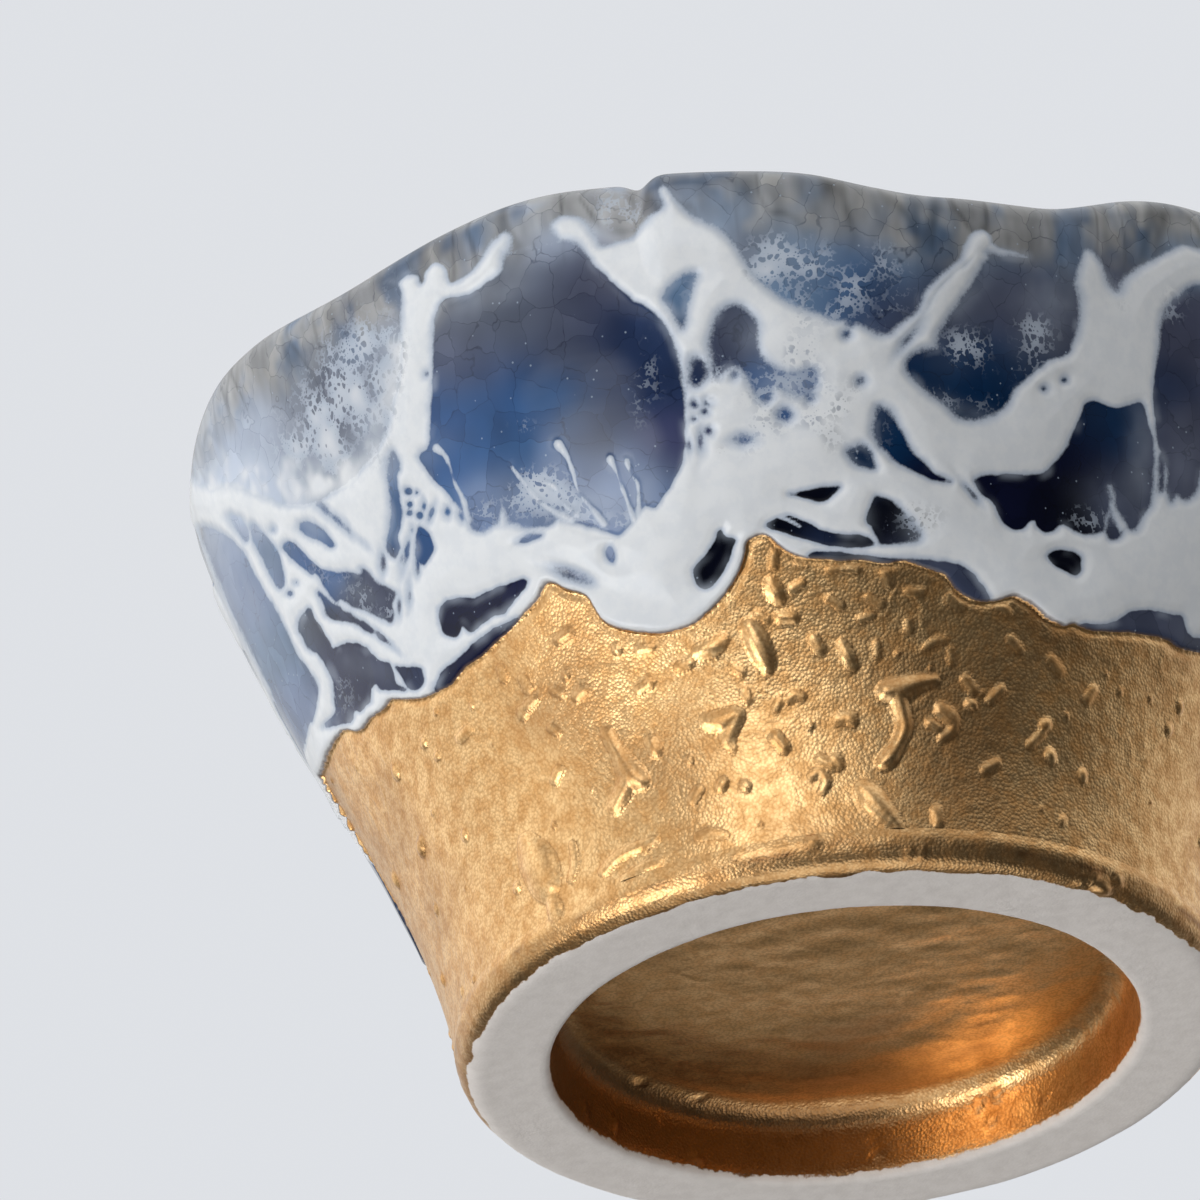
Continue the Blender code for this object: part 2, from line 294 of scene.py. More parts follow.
# Openings in the white glaze, through which the blue one shows
WINDOWS = {
    "large_upper": (447, 300, 468, 297, 491, 283, 503, 272, 509, 255, 546, 246, 573, 243, 592, 262,
        613, 283, 634, 302, 649, 309, 664, 324, 674, 344, 681, 372, 685, 400, 686, 431, 684, 455, 674, 482,
        665, 494, 657, 507, 646, 505, 636, 518, 628, 528, 621, 535, 611, 532, 596, 528, 575, 522, 560, 518,
        554, 524, 539, 527, 523, 526, 510, 522, 496, 524, 487, 531, 477, 529, 470, 520, 460, 505, 446, 490,
        436, 480, 428, 468, 421, 456, 432, 446, 433, 430, 433, 405, 435, 374, 436, 344, 438, 318),
    "tall_slot": (396, 451, 402, 459, 403, 469, 399, 478, 403, 497, 406, 516, 403, 530, 400, 538, 403, 547,
        398, 557, 391, 553, 389, 543, 392, 532, 394, 516, 393, 494, 391, 474, 392, 459),
    "diamond": (422, 527, 431, 534, 437, 547, 433, 557, 427, 564, 421, 559, 419, 543, 420, 532),
    "left_oval": (302, 528, 304, 522, 314, 522, 325, 528, 334, 538, 338, 545, 333, 547, 325, 542, 314, 536,
        305, 532),
    "left_long": (286, 549, 289, 543, 297, 542, 306, 552, 323, 566, 339, 573, 350, 572, 363, 574, 365, 568,
        371, 572, 381, 584, 392, 587, 399, 593, 396, 604, 398, 616, 392, 622, 377, 614, 360, 607, 348, 600,
        343, 597, 339, 601, 331, 591, 320, 574, 314, 574, 302, 564, 295, 557),
    "left_thin": (321, 593, 324, 591, 333, 601, 341, 606, 352, 612, 367, 621, 378, 631, 371, 631, 358, 624,
        348, 621, 337, 620, 330, 615, 327, 606),
    "left_lower": (302, 622, 310, 608, 314, 610, 320, 622, 325, 627, 333, 641, 337, 647, 348, 642, 364, 643,
        373, 652, 383, 660, 392, 663, 396, 671, 400, 683, 409, 690, 392, 690, 383, 689, 379, 684, 375, 689,
        374, 702, 369, 705, 364, 711, 358, 710, 354, 721, 344, 723, 327, 726, 338, 712, 338, 696, 336, 679,
        329, 664, 321, 654, 316, 652, 310, 645, 302, 631),
    "small_lower": (398, 666, 410, 667, 423, 667, 426, 677, 424, 686, 417, 689, 410, 684, 404, 674),
    "left_slanted": (204, 528, 222, 531, 243, 547, 256, 570, 272, 597, 287, 624, 302, 654, 314, 671,
        321, 685, 321, 698, 316, 719, 312, 723, 309, 740, 300, 748, 270, 680, 240, 620, 215, 560),
    "left_haze": (170, 440, 205, 385, 250, 345, 300, 325, 350, 295, 388, 276, 404, 292, 402, 330, 398, 366,
        392, 404, 384, 440, 352, 478, 318, 500, 284, 500, 240, 480, 205, 480),
    "left_chip": (234, 516, 243, 518, 251, 530, 249, 540),
    "left_leaf": (255, 524, 266, 532, 281, 551, 285, 564, 288, 582, 284, 587, 276, 580, 268, 562, 260, 547,
        256, 536),
    "dark_left": (443, 612, 446, 604, 454, 598, 475, 598, 481, 596, 500, 588, 527, 579, 529, 587, 518, 599,
        508, 612, 502, 615, 496, 616, 485, 624, 473, 631, 465, 625, 461, 635, 456, 637, 447, 633, 444, 624),
    "band_left": (437, 694, 441, 677, 449, 668, 466, 654, 483, 639, 497, 629, 512, 622, 521, 616, 516, 636,
        503, 648, 486, 664, 469, 676, 456, 690),
    "lens_left": (521, 541, 531, 535, 544, 534, 542, 538, 533, 541, 525, 543),
    "pip": (608, 549, 612, 546, 616, 553, 616, 562, 612, 562, 609, 556),
    "black_oval": (717, 532, 722, 529, 727, 536, 736, 539, 734, 547, 729, 562, 721, 576, 712, 586, 704, 589,
        697, 584, 694, 573, 698, 564, 706, 555, 714, 543),
    "lens": (789, 494, 802, 491, 823, 487, 839, 487, 834, 494, 824, 500, 813, 501, 800, 498),
    "long_slot": (766, 526, 777, 518, 790, 516, 802, 520, 813, 525, 823, 531, 847, 534, 867, 538, 874, 544,
        870, 547, 851, 548, 823, 545, 802, 539, 784, 532),
    "dark_centre": (866, 520, 872, 499, 878, 496, 891, 501, 903, 513, 911, 526, 917, 537, 911, 542,
        897, 544, 880, 545, 876, 537, 871, 526),
    "small_blue": (847, 452, 853, 448, 861, 446, 868, 451, 872, 461, 874, 469, 863, 468, 853, 462),
    "slim_blue": (876, 407, 884, 408, 894, 421, 902, 436, 912, 454, 922, 463, 933, 474, 949, 482, 934, 481,
        915, 472, 899, 465, 886, 453, 879, 446, 873, 431, 874, 418),
    "black_right": (1045, 557, 1051, 552, 1063, 551, 1072, 553, 1079, 560, 1079, 570, 1073, 576, 1063, 572,
        1051, 565),
    "band_centre": (807, 555, 823, 551, 851, 554, 880, 557, 909, 559, 928, 561, 947, 562, 960, 566,
        973, 574, 978, 582, 984, 591, 989, 603, 980, 609, 962, 603, 950, 594, 940, 581, 915, 573, 900, 568,
        861, 568, 823, 565),
    "band_right": (1078, 626, 1103, 624, 1116, 620, 1130, 612, 1149, 611, 1168, 614, 1179, 616, 1183, 627,
        1189, 637, 1206, 641, 1206, 662, 1177, 656, 1166, 648, 1149, 644, 1130, 641, 1103, 640, 1085, 636),
    "upper_chip": (664, 298, 674, 283, 689, 274, 697, 275, 692, 291, 687, 309, 683, 329, 676, 316, 669, 306),
    "hazy_chip": (694, 359, 704, 360, 707, 375, 698, 386, 692, 382, 692, 370),
    "middle_upper": (711, 354, 711, 339, 717, 319, 725, 309, 738, 306, 750, 314, 757, 326, 757, 347,
        763, 360, 778, 372, 794, 375, 809, 370, 814, 375, 812, 388, 796, 394, 781, 388, 773, 385, 768, 400,
        758, 395, 750, 382, 743, 370, 733, 367, 717, 375),
    "right_upper": (905, 370, 912, 354, 933, 349, 938, 334, 953, 309, 973, 278, 986, 260, 1022, 260,
        1042, 258, 1063, 273, 1072, 288, 1076, 309, 1073, 334, 1065, 354, 1045, 360, 1030, 375, 1012, 390,
        1001, 408, 979, 418, 958, 418, 943, 405, 922, 390),
    "right_large": (973, 479, 996, 476, 1019, 475, 1041, 474, 1051, 465, 1063, 451, 1068, 440, 1076, 420,
        1081, 406, 1091, 402, 1106, 407, 1121, 408, 1139, 403, 1144, 421, 1150, 441, 1151, 452, 1152, 469,
        1150, 490, 1148, 505, 1139, 518, 1133, 530, 1127, 530, 1121, 524, 1112, 512, 1104, 518, 1102, 530,
        1091, 536, 1078, 534, 1066, 528, 1059, 526, 1051, 532, 1043, 533, 1034, 527, 1032, 522, 1026, 524,
        1019, 531, 1005, 528, 996, 515, 990, 503, 976, 490),
    "right_hole": (1105, 520, 1110, 514, 1119, 528, 1118, 538, 1108, 540, 1104, 532),
    "right_edge": (1160, 319, 1167, 306, 1183, 291, 1200, 286, 1222, 300, 1232, 360, 1225, 440, 1204, 450,
        1196, 480, 1192, 494, 1181, 501, 1174, 496, 1168, 503, 1163, 488, 1164, 470, 1158, 452, 1154, 438,
        1152, 411, 1151, 388, 1153, 372, 1157, 347),
    "right_slit": (1158, 455, 1163, 468, 1162, 488, 1157, 492, 1156, 470),
}

# Thin glaze just under the lip, where the white has run off
UNDER_LIP = {
    "right": (662, 150, 668, 188, 690, 213, 710, 224, 730, 237, 748, 265, 768, 288, 799, 306, 832, 319,
        852, 322, 872, 331, 888, 334, 904, 322, 919, 309, 930, 290, 949, 269, 962, 259, 965, 244, 976, 232,
        988, 264, 1005, 284, 1022, 284, 1042, 280, 1058, 290, 1070, 286, 1079, 256, 1086, 250, 1094, 258,
        1100, 268, 1107, 284, 1114, 292, 1120, 280, 1132, 270, 1157, 257, 1178, 246, 1200, 250, 1260, 255,
        1260, 150),
    "left": (180, 470, 196, 440, 222, 405, 262, 380, 300, 367, 323, 339, 346, 313, 384, 290, 400, 283,
        409, 276, 420, 276, 424, 283, 428, 270, 438, 263, 448, 270, 452, 283, 462, 280, 476, 270, 484, 258,
        494, 243, 506, 231, 514, 238, 512, 250, 509, 255, 546, 246, 560, 243, 553, 234, 551, 225, 562, 216,
        578, 217, 590, 226, 599, 240, 604, 247, 618, 243, 633, 238, 646, 225, 656, 214, 664, 206, 658, 190,
        650, 150, 180, 150),
}

# Round holes and short slits in the white: place, width, height and slant, in pixels and degrees
HOLES = (
    (410, 550, 4, 21, 10), (412, 491, 8, 8, 0), (419, 492, 4, 4, 0), (412, 504, 5, 5, 0),
    (412, 513, 5, 5, 0), (423, 515, 6, 6, 0), (427, 506, 3, 7, 0), (435, 511, 4, 12, 20),
    (450, 512, 6, 9, 0), (415, 530, 3, 6, 0), (386, 560, 4, 12, 0), (405, 558, 2.5, 6, 0),
    (413, 593, 2.5, 10, 0), (402, 606, 2.5, 8, 0), (421, 566, 2.5, 8, 0), (430, 374, 3, 4, 0),
    (457, 497, 6, 10, -20), (464, 516, 5, 8, -20), (785, 415, 12, 12, 0), (744, 440, 14, 8, 0),
    (695, 405, 6, 6, 0), (708, 403, 4, 4, 0), (705, 412, 4, 4, 0), (709, 431, 4, 4, 0), (695, 419, 4, 4, 0),
    (701, 441, 3, 10, 0), (690, 445, 2.5, 6, 0), (735, 375, 5, 5, 0), (809, 397, 5, 5, 0),
    (860, 381, 5, 5, 0), (846, 334, 6, 6, 0), (850, 320, 11, 13, 0), (1041, 389, 5, 5, 0),
    (1061, 381, 5, 5, 0), (906, 339, 4, 13, 35), (969, 492, 4, 13, -40), (276, 529, 4, 4, 0),
    (293, 593, 4, 4, 0), (300, 582, 4, 4, 0), (336, 515, 3, 26, -48), (574, 575, 6, 24, -70),
    (385, 637, 3, 18, -50),
)

# Threads of white across the openings, each a run of x, y, width
THREADS = (
    (439, 448, 10, 447, 455, 4, 453, 469, 4, 458, 484, 4, 466, 501, 5, 471, 520, 7),
    (514, 467, 4, 521, 476, 5, 533, 492, 6, 544, 503, 8, 558, 513, 9, 573, 519, 11),
    (542, 482, 3, 554, 486, 8, 562, 495, 4, 565, 503, 5, 579, 515, 8),
    (560, 444, 10, 569, 457, 4, 574, 471, 3.5, 578, 486, 3.5, 583, 497, 4, 592, 507, 5, 606, 524, 8),
    (580, 490, 3, 581, 502, 3, 580, 515, 5),
    (612, 459, 6, 619, 476, 3, 626, 494, 3.5, 632, 511, 5, 636, 520, 8),
    (628, 461, 7, 632, 474, 4, 639, 484, 4, 640, 501, 4.5, 640, 518, 7),
    (503, 499, 2, 505, 513, 6, 506, 525, 14),
    (899, 334, 16, 920, 314, 13, 930, 293, 12, 950, 273, 12, 963, 263, 13, 976, 245, 24, 978, 243, 20),
    (984, 247, 10, 996, 252, 9, 1010, 255, 6, 1024, 258, 3),
    (905, 350, 8, 925, 331, 10, 943, 309, 9, 963, 288, 9, 974, 268, 6),
    (1108, 488, 3, 1111, 500, 5, 1111, 511, 7, 1120, 528, 9), (700, 392, 10, 712, 400, 12, 732, 410, 12),
    (772, 515, 3, 786, 519, 4, 800, 527, 3),
)

# Mist of thin white: place, half widths, slant and strength
MIST = (
    (330, 485, 70, 20, -20, 0.95), (240, 482, 60, 22, 5, 0.95), (394, 390, 15, 70, 12, 0.92),
    (215, 430, 30, 30, -40, 0.45), (375, 430, 26, 40, 15, 0.35), (378, 345, 16, 40, 20, 0.3),
    (285, 468, 50, 18, 0, 0.75), (260, 420, 30, 20, -30, 0.25), (535, 503, 40, 20, 10, 0.3),
    (640, 480, 30, 22, -30, 0.18), (600, 505, 50, 16, 0, 0.25), (785, 345, 34, 24, 20, 0.55),
    (785, 385, 30, 18, 0, 0.45), (737, 450, 22, 20, 0, 0.35), (835, 420, 30, 24, -20, 0.4),
    (925, 522, 16, 16, 0, 0.75), (858, 520, 10, 16, 0, 0.4), (955, 408, 46, 8, 20, 0.2),
    (965, 330, 22, 40, 30, 0.1), (1035, 335, 26, 36, 0, 0.15), (1110, 500, 30, 26, 0, 0.12),
    (1140, 440, 12, 50, 0, 0.3), (1180, 470, 20, 40, 0, 0.12), (960, 300, 30, 12, -45, 0.35),
    (540, 232, 34, 16, 15, 0.4), (485, 300, 40, 12, -20, 0.2), (700, 250, 40, 22, 30, 0.55),
    (860, 240, 60, 26, 5, 0.08), (760, 250, 50, 26, 25, 0.15), (1050, 300, 26, 24, 0, 0.25),
    (250, 590, 40, 60, -35, 0.22), (225, 540, 26, 26, 0, 0.45), (318, 530, 20, 10, 40, 0.35),
    (360, 590, 30, 10, 25, 0.15), (370, 665, 26, 12, 20, 0.16),
)

# Froth, a net of fine bubbles: place, half widths, slant and strength
FROTH = (
    (820, 300, 80, 34, 12, 0.52), (770, 262, 40, 28, 35, 0.72), (860, 262, 50, 26, 10, 0.45),
    (785, 400, 60, 34, 0, 0.8), (740, 452, 34, 26, 0, 0.85), (835, 425, 44, 34, -20, 0.55),
    (965, 348, 34, 22, 10, 0.5), (1040, 335, 26, 46, 10, 0.6), (950, 402, 50, 14, 15, 0.45),
    (835, 425, 30, 26, 0, 0.6), (620, 215, 22, 22, 0, 0.8), (545, 228, 20, 14, 0, 0.35),
    (345, 400, 44, 60, -20, 0.45), (355, 440, 30, 36, 0, 0.75), (545, 498, 34, 20, 20, 0.7),
    (500, 512, 26, 14, 0, 0.75), (620, 515, 34, 16, 0, 0.5), (715, 372, 20, 20, 0, 0.45),
    (805, 350, 22, 26, 0, 0.5), (1090, 520, 30, 20, 0, 0.45), (1160, 300, 24, 30, 0, 0.45),
    (1110, 300, 20, 20, 0, 0.6), (376, 390, 34, 80, 10, 0.95), (335, 430, 50, 40, -20, 0.7),
    (290, 445, 60, 30, 0, 0.45), (320, 560, 60, 26, 35, 0.25), (380, 600, 40, 22, 35, 0.35),
    (922, 520, 30, 22, 0, 0.75), (340, 690, 30, 34, 0, 0.3), (240, 600, 26, 70, -35, 0.18),
    (690, 300, 16, 30, 0, 0.3), (652, 365, 14, 40, 0, 0.42), (525, 425, 18, 10, 0, 0.3),
    (560, 488, 30, 16, 20, 0.5), (640, 405, 10, 24, 0, 0.3),
)

# Where the white ends in a soft stippled fringe: place, half widths, slant and strength
SOFT = (
    (735, 350, 70, 60, 20, 0.85), (800, 400, 70, 40, 20, 0.8), (960, 340, 70, 90, 10, 0.8),
    (970, 420, 60, 20, 15, 0.75), (1100, 300, 50, 50, 0, 0.75), (820, 300, 110, 50, 15, 0.7),
    (700, 240, 50, 40, 30, 0.6), (920, 525, 30, 24, 0, 0.85), (1120, 500, 50, 40, 0, 0.6),
    (1150, 300, 50, 50, 0, 0.6), (840, 430, 40, 36, 0, 0.85), (740, 450, 34, 26, 0, 0.7),
    (290, 400, 90, 70, -30, 0.95), (230, 490, 60, 30, 0, 0.8), (320, 505, 50, 18, 10, 0.4),
    (230, 590, 30, 80, -30, 0.35), (390, 400, 22, 90, 10, 0.8), (540, 240, 60, 26, 0, 0.8),
    (620, 210, 40, 26, 0, 0.6), (560, 520, 70, 14, 0, 0.35), (574, 575, 24, 16, 0, 0.9),
    (500, 520, 40, 16, 0, 0.4), (1190, 480, 40, 40, 0, 0.5), (700, 370, 24, 24, 0, 0.7),
    (380, 580, 40, 40, 0, 0.25), (690, 290, 14, 30, 0, 0.35),
)

# Tones of the blue glaze, as in a picture (0 to 255); the pale purplish blue one also carries a painted
# reflection
TONES = {
    "mauve": (86, 92, 106), "slate": (62, 68, 88), "navy": (34, 48, 78), "ocean": (38, 76, 124),
    "clear_blue": (56, 90, 132), "lavender_reflection": (104, 122, 154), "ink": (3, 5, 18), "deep_blue": (5, 15, 56),
    "midnight": (8, 12, 38), "teal": (4, 40, 74), "steel": (92, 118, 148), "fog": (116, 122, 134),
    "pale": (182, 192, 210), "dusk": (70, 74, 94), "violet": (60, 62, 92), "grey_beige": (140, 143, 145),
    "lip_dark": (78, 96, 118), "lip_beige": (150, 148, 144),
}

# Where each tone lies: places and reaches in pixels
TONE_PLACES = {
    "mauve": ((480, 320, 34), (530, 300, 34)),
    "dusk": ((580, 290, 30), (470, 360, 26), (1010, 290, 34), (1185, 340, 26), (1180, 440, 24),
        (1110, 260, 24), (652, 205, 12), (345, 420, 14), (330, 385, 12), (365, 400, 12), (890, 226, 7)),
    "navy": ((640, 330, 26), (630, 380, 36), (600, 420, 30), (410, 675, 18), (1165, 385, 18),
        (425, 268, 14), (820, 540, 12), (301, 353, 8), (316, 334, 8), (334, 318, 8), (352, 305, 8),
        (388, 282, 8), (405, 270, 7), (422, 260, 7), (905, 231, 7), (922, 236, 7), (940, 240, 7),
        (420, 480, 8)),
    "slate": ((560, 350, 32), (380, 600, 22), (900, 565, 18), (960, 585, 20), (1130, 628, 24),
        (1180, 640, 20), (735, 335, 22), (945, 310, 24), (1040, 300, 24), (1125, 495, 22), (880, 310, 26),
        (940, 280, 20), (745, 245, 14), (455, 255, 18), (385, 290, 18)),
    "ocean": ((500, 400, 36), (465, 430, 30), (428, 545, 12), (320, 565, 22), (770, 388, 20),
        (345, 318, 18), (371, 294, 8)),
    "clear_blue": ((520, 440, 30), (560, 400, 24), (397, 500, 20), (318, 532, 12), (850, 280, 30),
        (445, 505, 10)),
    # Painted reflection: the pale purplish blue is the glaze with a bright area mirrored in it, laid at the
    # foot of the large upper opening and near the left edge.
    "lavender_reflection": ((560, 490, 26), (625, 480, 26), (500, 500, 22), (215, 545, 26), (245, 600, 26),
        (300, 705, 22)),
    "violet": ((660, 440, 20),),
    "midnight": ((312, 632, 16), (480, 610, 24), (480, 650, 30), (925, 475, 18), (1010, 500, 34),
        (1080, 460, 26)),
    "deep_blue": ((355, 670, 22), (480, 610, 24), (518, 590, 18), (470, 655, 18), (500, 632, 16),
        (360, 685, 28), (400, 672, 14), (385, 598, 12), (330, 650, 14)),
    "steel": ((275, 650, 26), (270, 560, 12), (680, 295, 16), (720, 222, 22), (800, 240, 34),
        (800, 280, 26), (920, 240, 30), (1000, 232, 26), (1060, 240, 24), (1160, 235, 26), (1200, 245, 20),
        (565, 205, 20), (480, 235, 24), (300, 335, 20), (410, 275, 12), (350, 340, 14)),
    "ink": ((715, 560, 26), (812, 495, 14), (820, 532, 24), (890, 525, 26), (1062, 562, 18),
        (1050, 510, 26)),
    "teal": ((860, 458, 18), (890, 440, 24), (940, 385, 26), (985, 370, 30), (1110, 425, 26)),
    "fog": ((690, 195, 26), (360, 330, 24), (300, 390, 36), (340, 420, 34), (250, 370, 28)),
    "grey_beige": ((780, 195, 44), (900, 200, 36), (1000, 214, 30), (1120, 212, 36), (1200, 215, 30),
        (285, 375, 16), (330, 300, 9), (375, 272, 9)),
    "pale": ((540, 228, 26), (600, 200, 22), (470, 262, 14), (240, 420, 34), (220, 480, 34)),
}

# Upper edge of the gold coating, from left to right
GOLD_EDGE = (
    250, 905, 300, 820, 325, 770, 333, 748, 345, 730, 358, 731, 366, 727, 373, 717, 387, 708, 392, 700,
    402, 699, 423, 698, 436, 693, 454, 683, 466, 668, 483, 656, 500, 640, 512, 629, 527, 612, 539, 599,
    544, 589, 548, 583, 558, 584, 567, 589, 583, 594, 590, 599, 596, 610, 606, 622, 621, 629, 646, 633,
    665, 633, 686, 628, 700, 620, 717, 604, 731, 587, 740, 570, 745, 555, 747, 543, 754, 537, 763, 535,
    771, 538, 777, 544, 790, 553, 805, 558, 823, 559, 840, 561, 861, 560, 884, 564, 903, 561, 922, 567,
    937, 572, 945, 576, 954, 588, 965, 597, 980, 602, 996, 601, 1011, 596, 1022, 600, 1034, 608, 1045, 618,
    1063, 626, 1072, 624, 1087, 630, 1103, 632, 1130, 633, 1149, 636, 1166, 640, 1177, 648, 1200, 653,
    1225, 655, 1260, 640, 1300, 600,
)

# Beads and runs of gold: how far each stands out in millimetres, then its run of x, y, width
GOLD_BEADS = (
    (0.3, 771, 584, 10, 776, 594, 14, 779, 600, 8), (0.16, 792, 590, 6, 801, 584, 5),
    (0.24, 781, 618, 9, 792, 618, 9), (0.42, 750, 627, 14, 757, 642, 20, 764, 658, 18, 768, 668, 9),
    (0.2, 814, 640, 8, 819, 650, 9), (0.26, 842, 644, 6, 847, 656, 11, 852, 667, 7),
    (0.12, 876, 644, 4, 877, 656, 4), (0.26, 700, 652, 12, 713, 648, 15, 724, 640, 6),
    (0.36, 708, 722, 13, 722, 722, 19, 737, 716, 13, 728, 738, 12, 733, 748, 6),
    (0.18, 788, 700, 5, 795, 695, 6, 802, 697, 5), (0.22, 838, 720, 8, 850, 718, 10),
    (0.44, 888, 692, 18, 902, 690, 19, 918, 684, 13, 934, 681, 7),
    (0.42, 896, 694, 15, 901, 712, 13, 904, 728, 12, 898, 744, 10, 890, 757, 14, 884, 763, 12),
    (0.14, 908, 622, 5, 908, 630, 6), (0.18, 884, 574, 6, 888, 584, 6), (0.16, 908, 593, 6, 921, 592, 6),
    (0.16, 774, 553, 5, 773, 566, 5), (0.1, 798, 564, 4, 806, 565, 4),
    (0.16, 925, 648, 4, 934, 642, 5, 944, 641, 4), (0.12, 952, 600, 14, 958, 605, 13),
    (0.12, 950, 650, 4, 951, 662, 5), (0.4, 608, 735, 9, 620, 755, 12, 632, 775, 21, 640, 781, 16),
    (0.34, 632, 775, 16, 624, 792, 14, 616, 807, 10), (0.24, 652, 742, 10, 656, 750, 11),
    (0.42, 863, 790, 14, 872, 800, 22, 884, 814, 19, 900, 829, 7),
    (0.46, 530, 842, 16, 540, 862, 32, 546, 884, 26, 548, 896, 12), (0.26, 776, 738, 10, 784, 748, 9),
    (0.18, 640, 690, 6, 652, 683, 6), (0.26, 940, 712, 8, 950, 722, 9), (0.2, 930, 724, 6, 938, 729, 6),
    (0.18, 996, 604, 6, 1006, 612, 6), (0.2, 560, 640, 7, 570, 633, 7), (0.2, 585, 690, 7, 578, 697, 6),
    (0.18, 535, 700, 6, 528, 707, 6), (0.2, 680, 668, 7, 690, 664, 6), (0.18, 470, 730, 6, 462, 738, 6),
    (0.16, 640, 650, 6, 652, 648, 5), (0.22, 820, 760, 8, 832, 766, 8), (0.15, 735, 668, 5, 742, 672, 5),
    (0.2, 990, 700, 6, 1000, 690, 6), (0.2, 936, 812, 8, 938, 822, 8),
    (0.24, 940, 708, 7, 951, 716, 9, 952, 730, 8, 942, 738, 6), (0.2, 835, 760, 9, 838, 766, 8),
    (0.18, 812, 776, 6, 820, 772, 6, 826, 782, 6, 822, 792, 5), (0.16, 745, 693, 7, 748, 699, 7),
    (0.14, 574, 845, 4, 576, 862, 4, 572, 880, 4),
    (0.2, 604, 872, 6, 620, 856, 7, 642, 846, 7, 655, 842, 5),
    (0.16, 625, 880, 5, 645, 868, 6, 660, 862, 5), (0.18, 700, 838, 6, 712, 834, 8, 726, 836, 5),
    (0.14, 524, 678, 6, 530, 690, 7), (0.14, 555, 690, 6, 562, 694, 6), (0.14, 522, 710, 5, 524, 716, 6),
    (0.12, 552, 728, 5, 558, 732, 5), (0.12, 502, 668, 5, 505, 678, 6), (0.16, 1010, 590, 6, 1022, 596, 7),
    (0.14, 830, 570, 5, 842, 566, 6, 856, 570, 5), (0.14, 868, 598, 5, 880, 604, 6),
    (0.18, 965, 680, 7, 972, 690, 8), (0.16, 1050, 660, 6, 1058, 672, 7), (0.18, 985, 770, 7, 996, 764, 6),
    (0.18, 1030, 745, 6, 1040, 735, 6), (0.14, 758, 615, 5, 766, 620, 5),
    (0.18, 1086, 700, 6, 1092, 690, 6), (0.14, 780, 700, 5, 776, 708, 5), (0.18, 700, 790, 7, 694, 800, 7),
    (0.18, 560, 770, 6, 556, 780, 6), (0.15, 860, 620, 5, 870, 616, 5), (0.16, 830, 600, 6, 840, 606, 6),
    (0.16, 1010, 640, 6, 1018, 650, 6),
)

SPLINE_STEPS = 3        # points made of each traced one
FAR = 45.0              # pixels: distances stop here


def smooth_line(numbers, closed, columns=2):
    """The run of points with its corners rounded by a spline through them."""
    p = np.array(numbers, float).reshape(-1, columns)
    if closed:
        before, after, last = np.roll(p, 1, 0), np.roll(p, -1, 0), np.roll(p, -2, 0)
    else:
        before = np.vstack([p[:1], p[:-1]])[:-1]
        after, last = p[1:], np.vstack([p[2:], p[-1:]])
        p = p[:-1]
    out = []
    for k in range(SPLINE_STEPS):
        t = k / SPLINE_STEPS
        out.append(0.5 * (2 * p + (after - before) * t + (2 * before - 5 * p + 4 * after - last) * t * t
                          + (3 * p - before - 3 * after + last) * t ** 3))
    line = np.stack(out, 1).reshape(-1, columns)
    return line if closed else np.vstack([line, after[-1:]])


def near_box(px, py, line, reach):
    low, high = line[:, :2].min(0) - reach, line[:, :2].max(0) + reach
    return (px > low[0]) & (px < high[0]) & (py > low[1]) & (py < high[1])


def stretches(x, y, line):
    """For each stretch of a line, the distance to it and the line's last value at the nearest place."""
    for (ax, ay, *a), (bx, by, *b) in zip(line[:-1], line[1:]):
        dx, dy = bx - ax, by - ay
        t = np.clip(((x - ax) * dx + (y - ay) * dy) / (dx * dx + dy * dy + 1e-9), 0.0, 1.0)
        width = a[0] + t * (b[0] - a[0]) if a else None
        yield np.hypot(x - ax - t * dx, y - ay - t * dy), width


def inside_distance(px, py, outline, reach=FAR):
    """Distance in pixels to a closed outline, positive inside it."""
    line = smooth_line(outline, True)
    near = near_box(px, py, line, reach)
    x, y = px[near], py[near]
    best = np.full(x.shape, reach)
    for away, _ in stretches(x, y, np.vstack([line, line[:1]])):
        best = np.minimum(best, away)
    inside = np.zeros(x.shape, bool)
    for (ax, ay), (bx, by) in zip(line, np.roll(line, -1, 0)):
        if ay != by:
            inside ^= ((ay > y) != (by > y)) & (x < ax + (bx - ax) * (y - ay) / (by - ay))
    out = np.full(px.shape, -reach)
    out[near] = np.where(inside, best, -best)
    return out


def thread_distance(px, py, thread, reach=30.0):
    """Distance in pixels inside a run of varying width, negative outside it."""
    line = smooth_line(thread, False, 3)
    near = near_box(px, py, line, reach)
    x, y = px[near], py[near]
    best = np.full(x.shape, -reach)
    for away, width in stretches(x, y, line):
        best = np.maximum(best, 0.5 * width - away)
    out = np.full(px.shape, -reach)
    out[near] = best
    return out


def slanted(px, py, x, y, slant):
    """Offsets from a place, turned by `slant` degrees clockwise in the picture."""
    a = math.radians(slant)
    dx, dy = px - x, py - y
    return dx * math.cos(a) + dy * math.sin(a), -dx * math.sin(a) + dy * math.cos(a)


def hole_distance(px, py, hole):
    x, y, wide, tall, slant = hole
    u, v = slanted(px, py, x, y, slant)
    size = np.hypot(u / (wide / 2), v / (tall / 2))
    return (1.0 - size) * min(wide, tall) / 2


def patches(px, py, places):
    """Soft patches laid over each other, from 0 to 1."""
    clear = np.ones(px.shape)
    for x, y, wide, tall, slant, strength in places:
        u, v = slanted(px, py, x, y, slant)
        clear *= 1.0 - strength * np.exp(-0.5 * ((u / wide) ** 2 + (v / tall) ** 2) * 1.6)
    return 1.0 - clear


def linear(tone):
    """A picture's tone as linear colour."""
    c = np.array(tone, float) / 255.0
    return np.where(c <= 0.04045, c / 12.92, ((c + 0.055) / 1.055) ** 2.4)


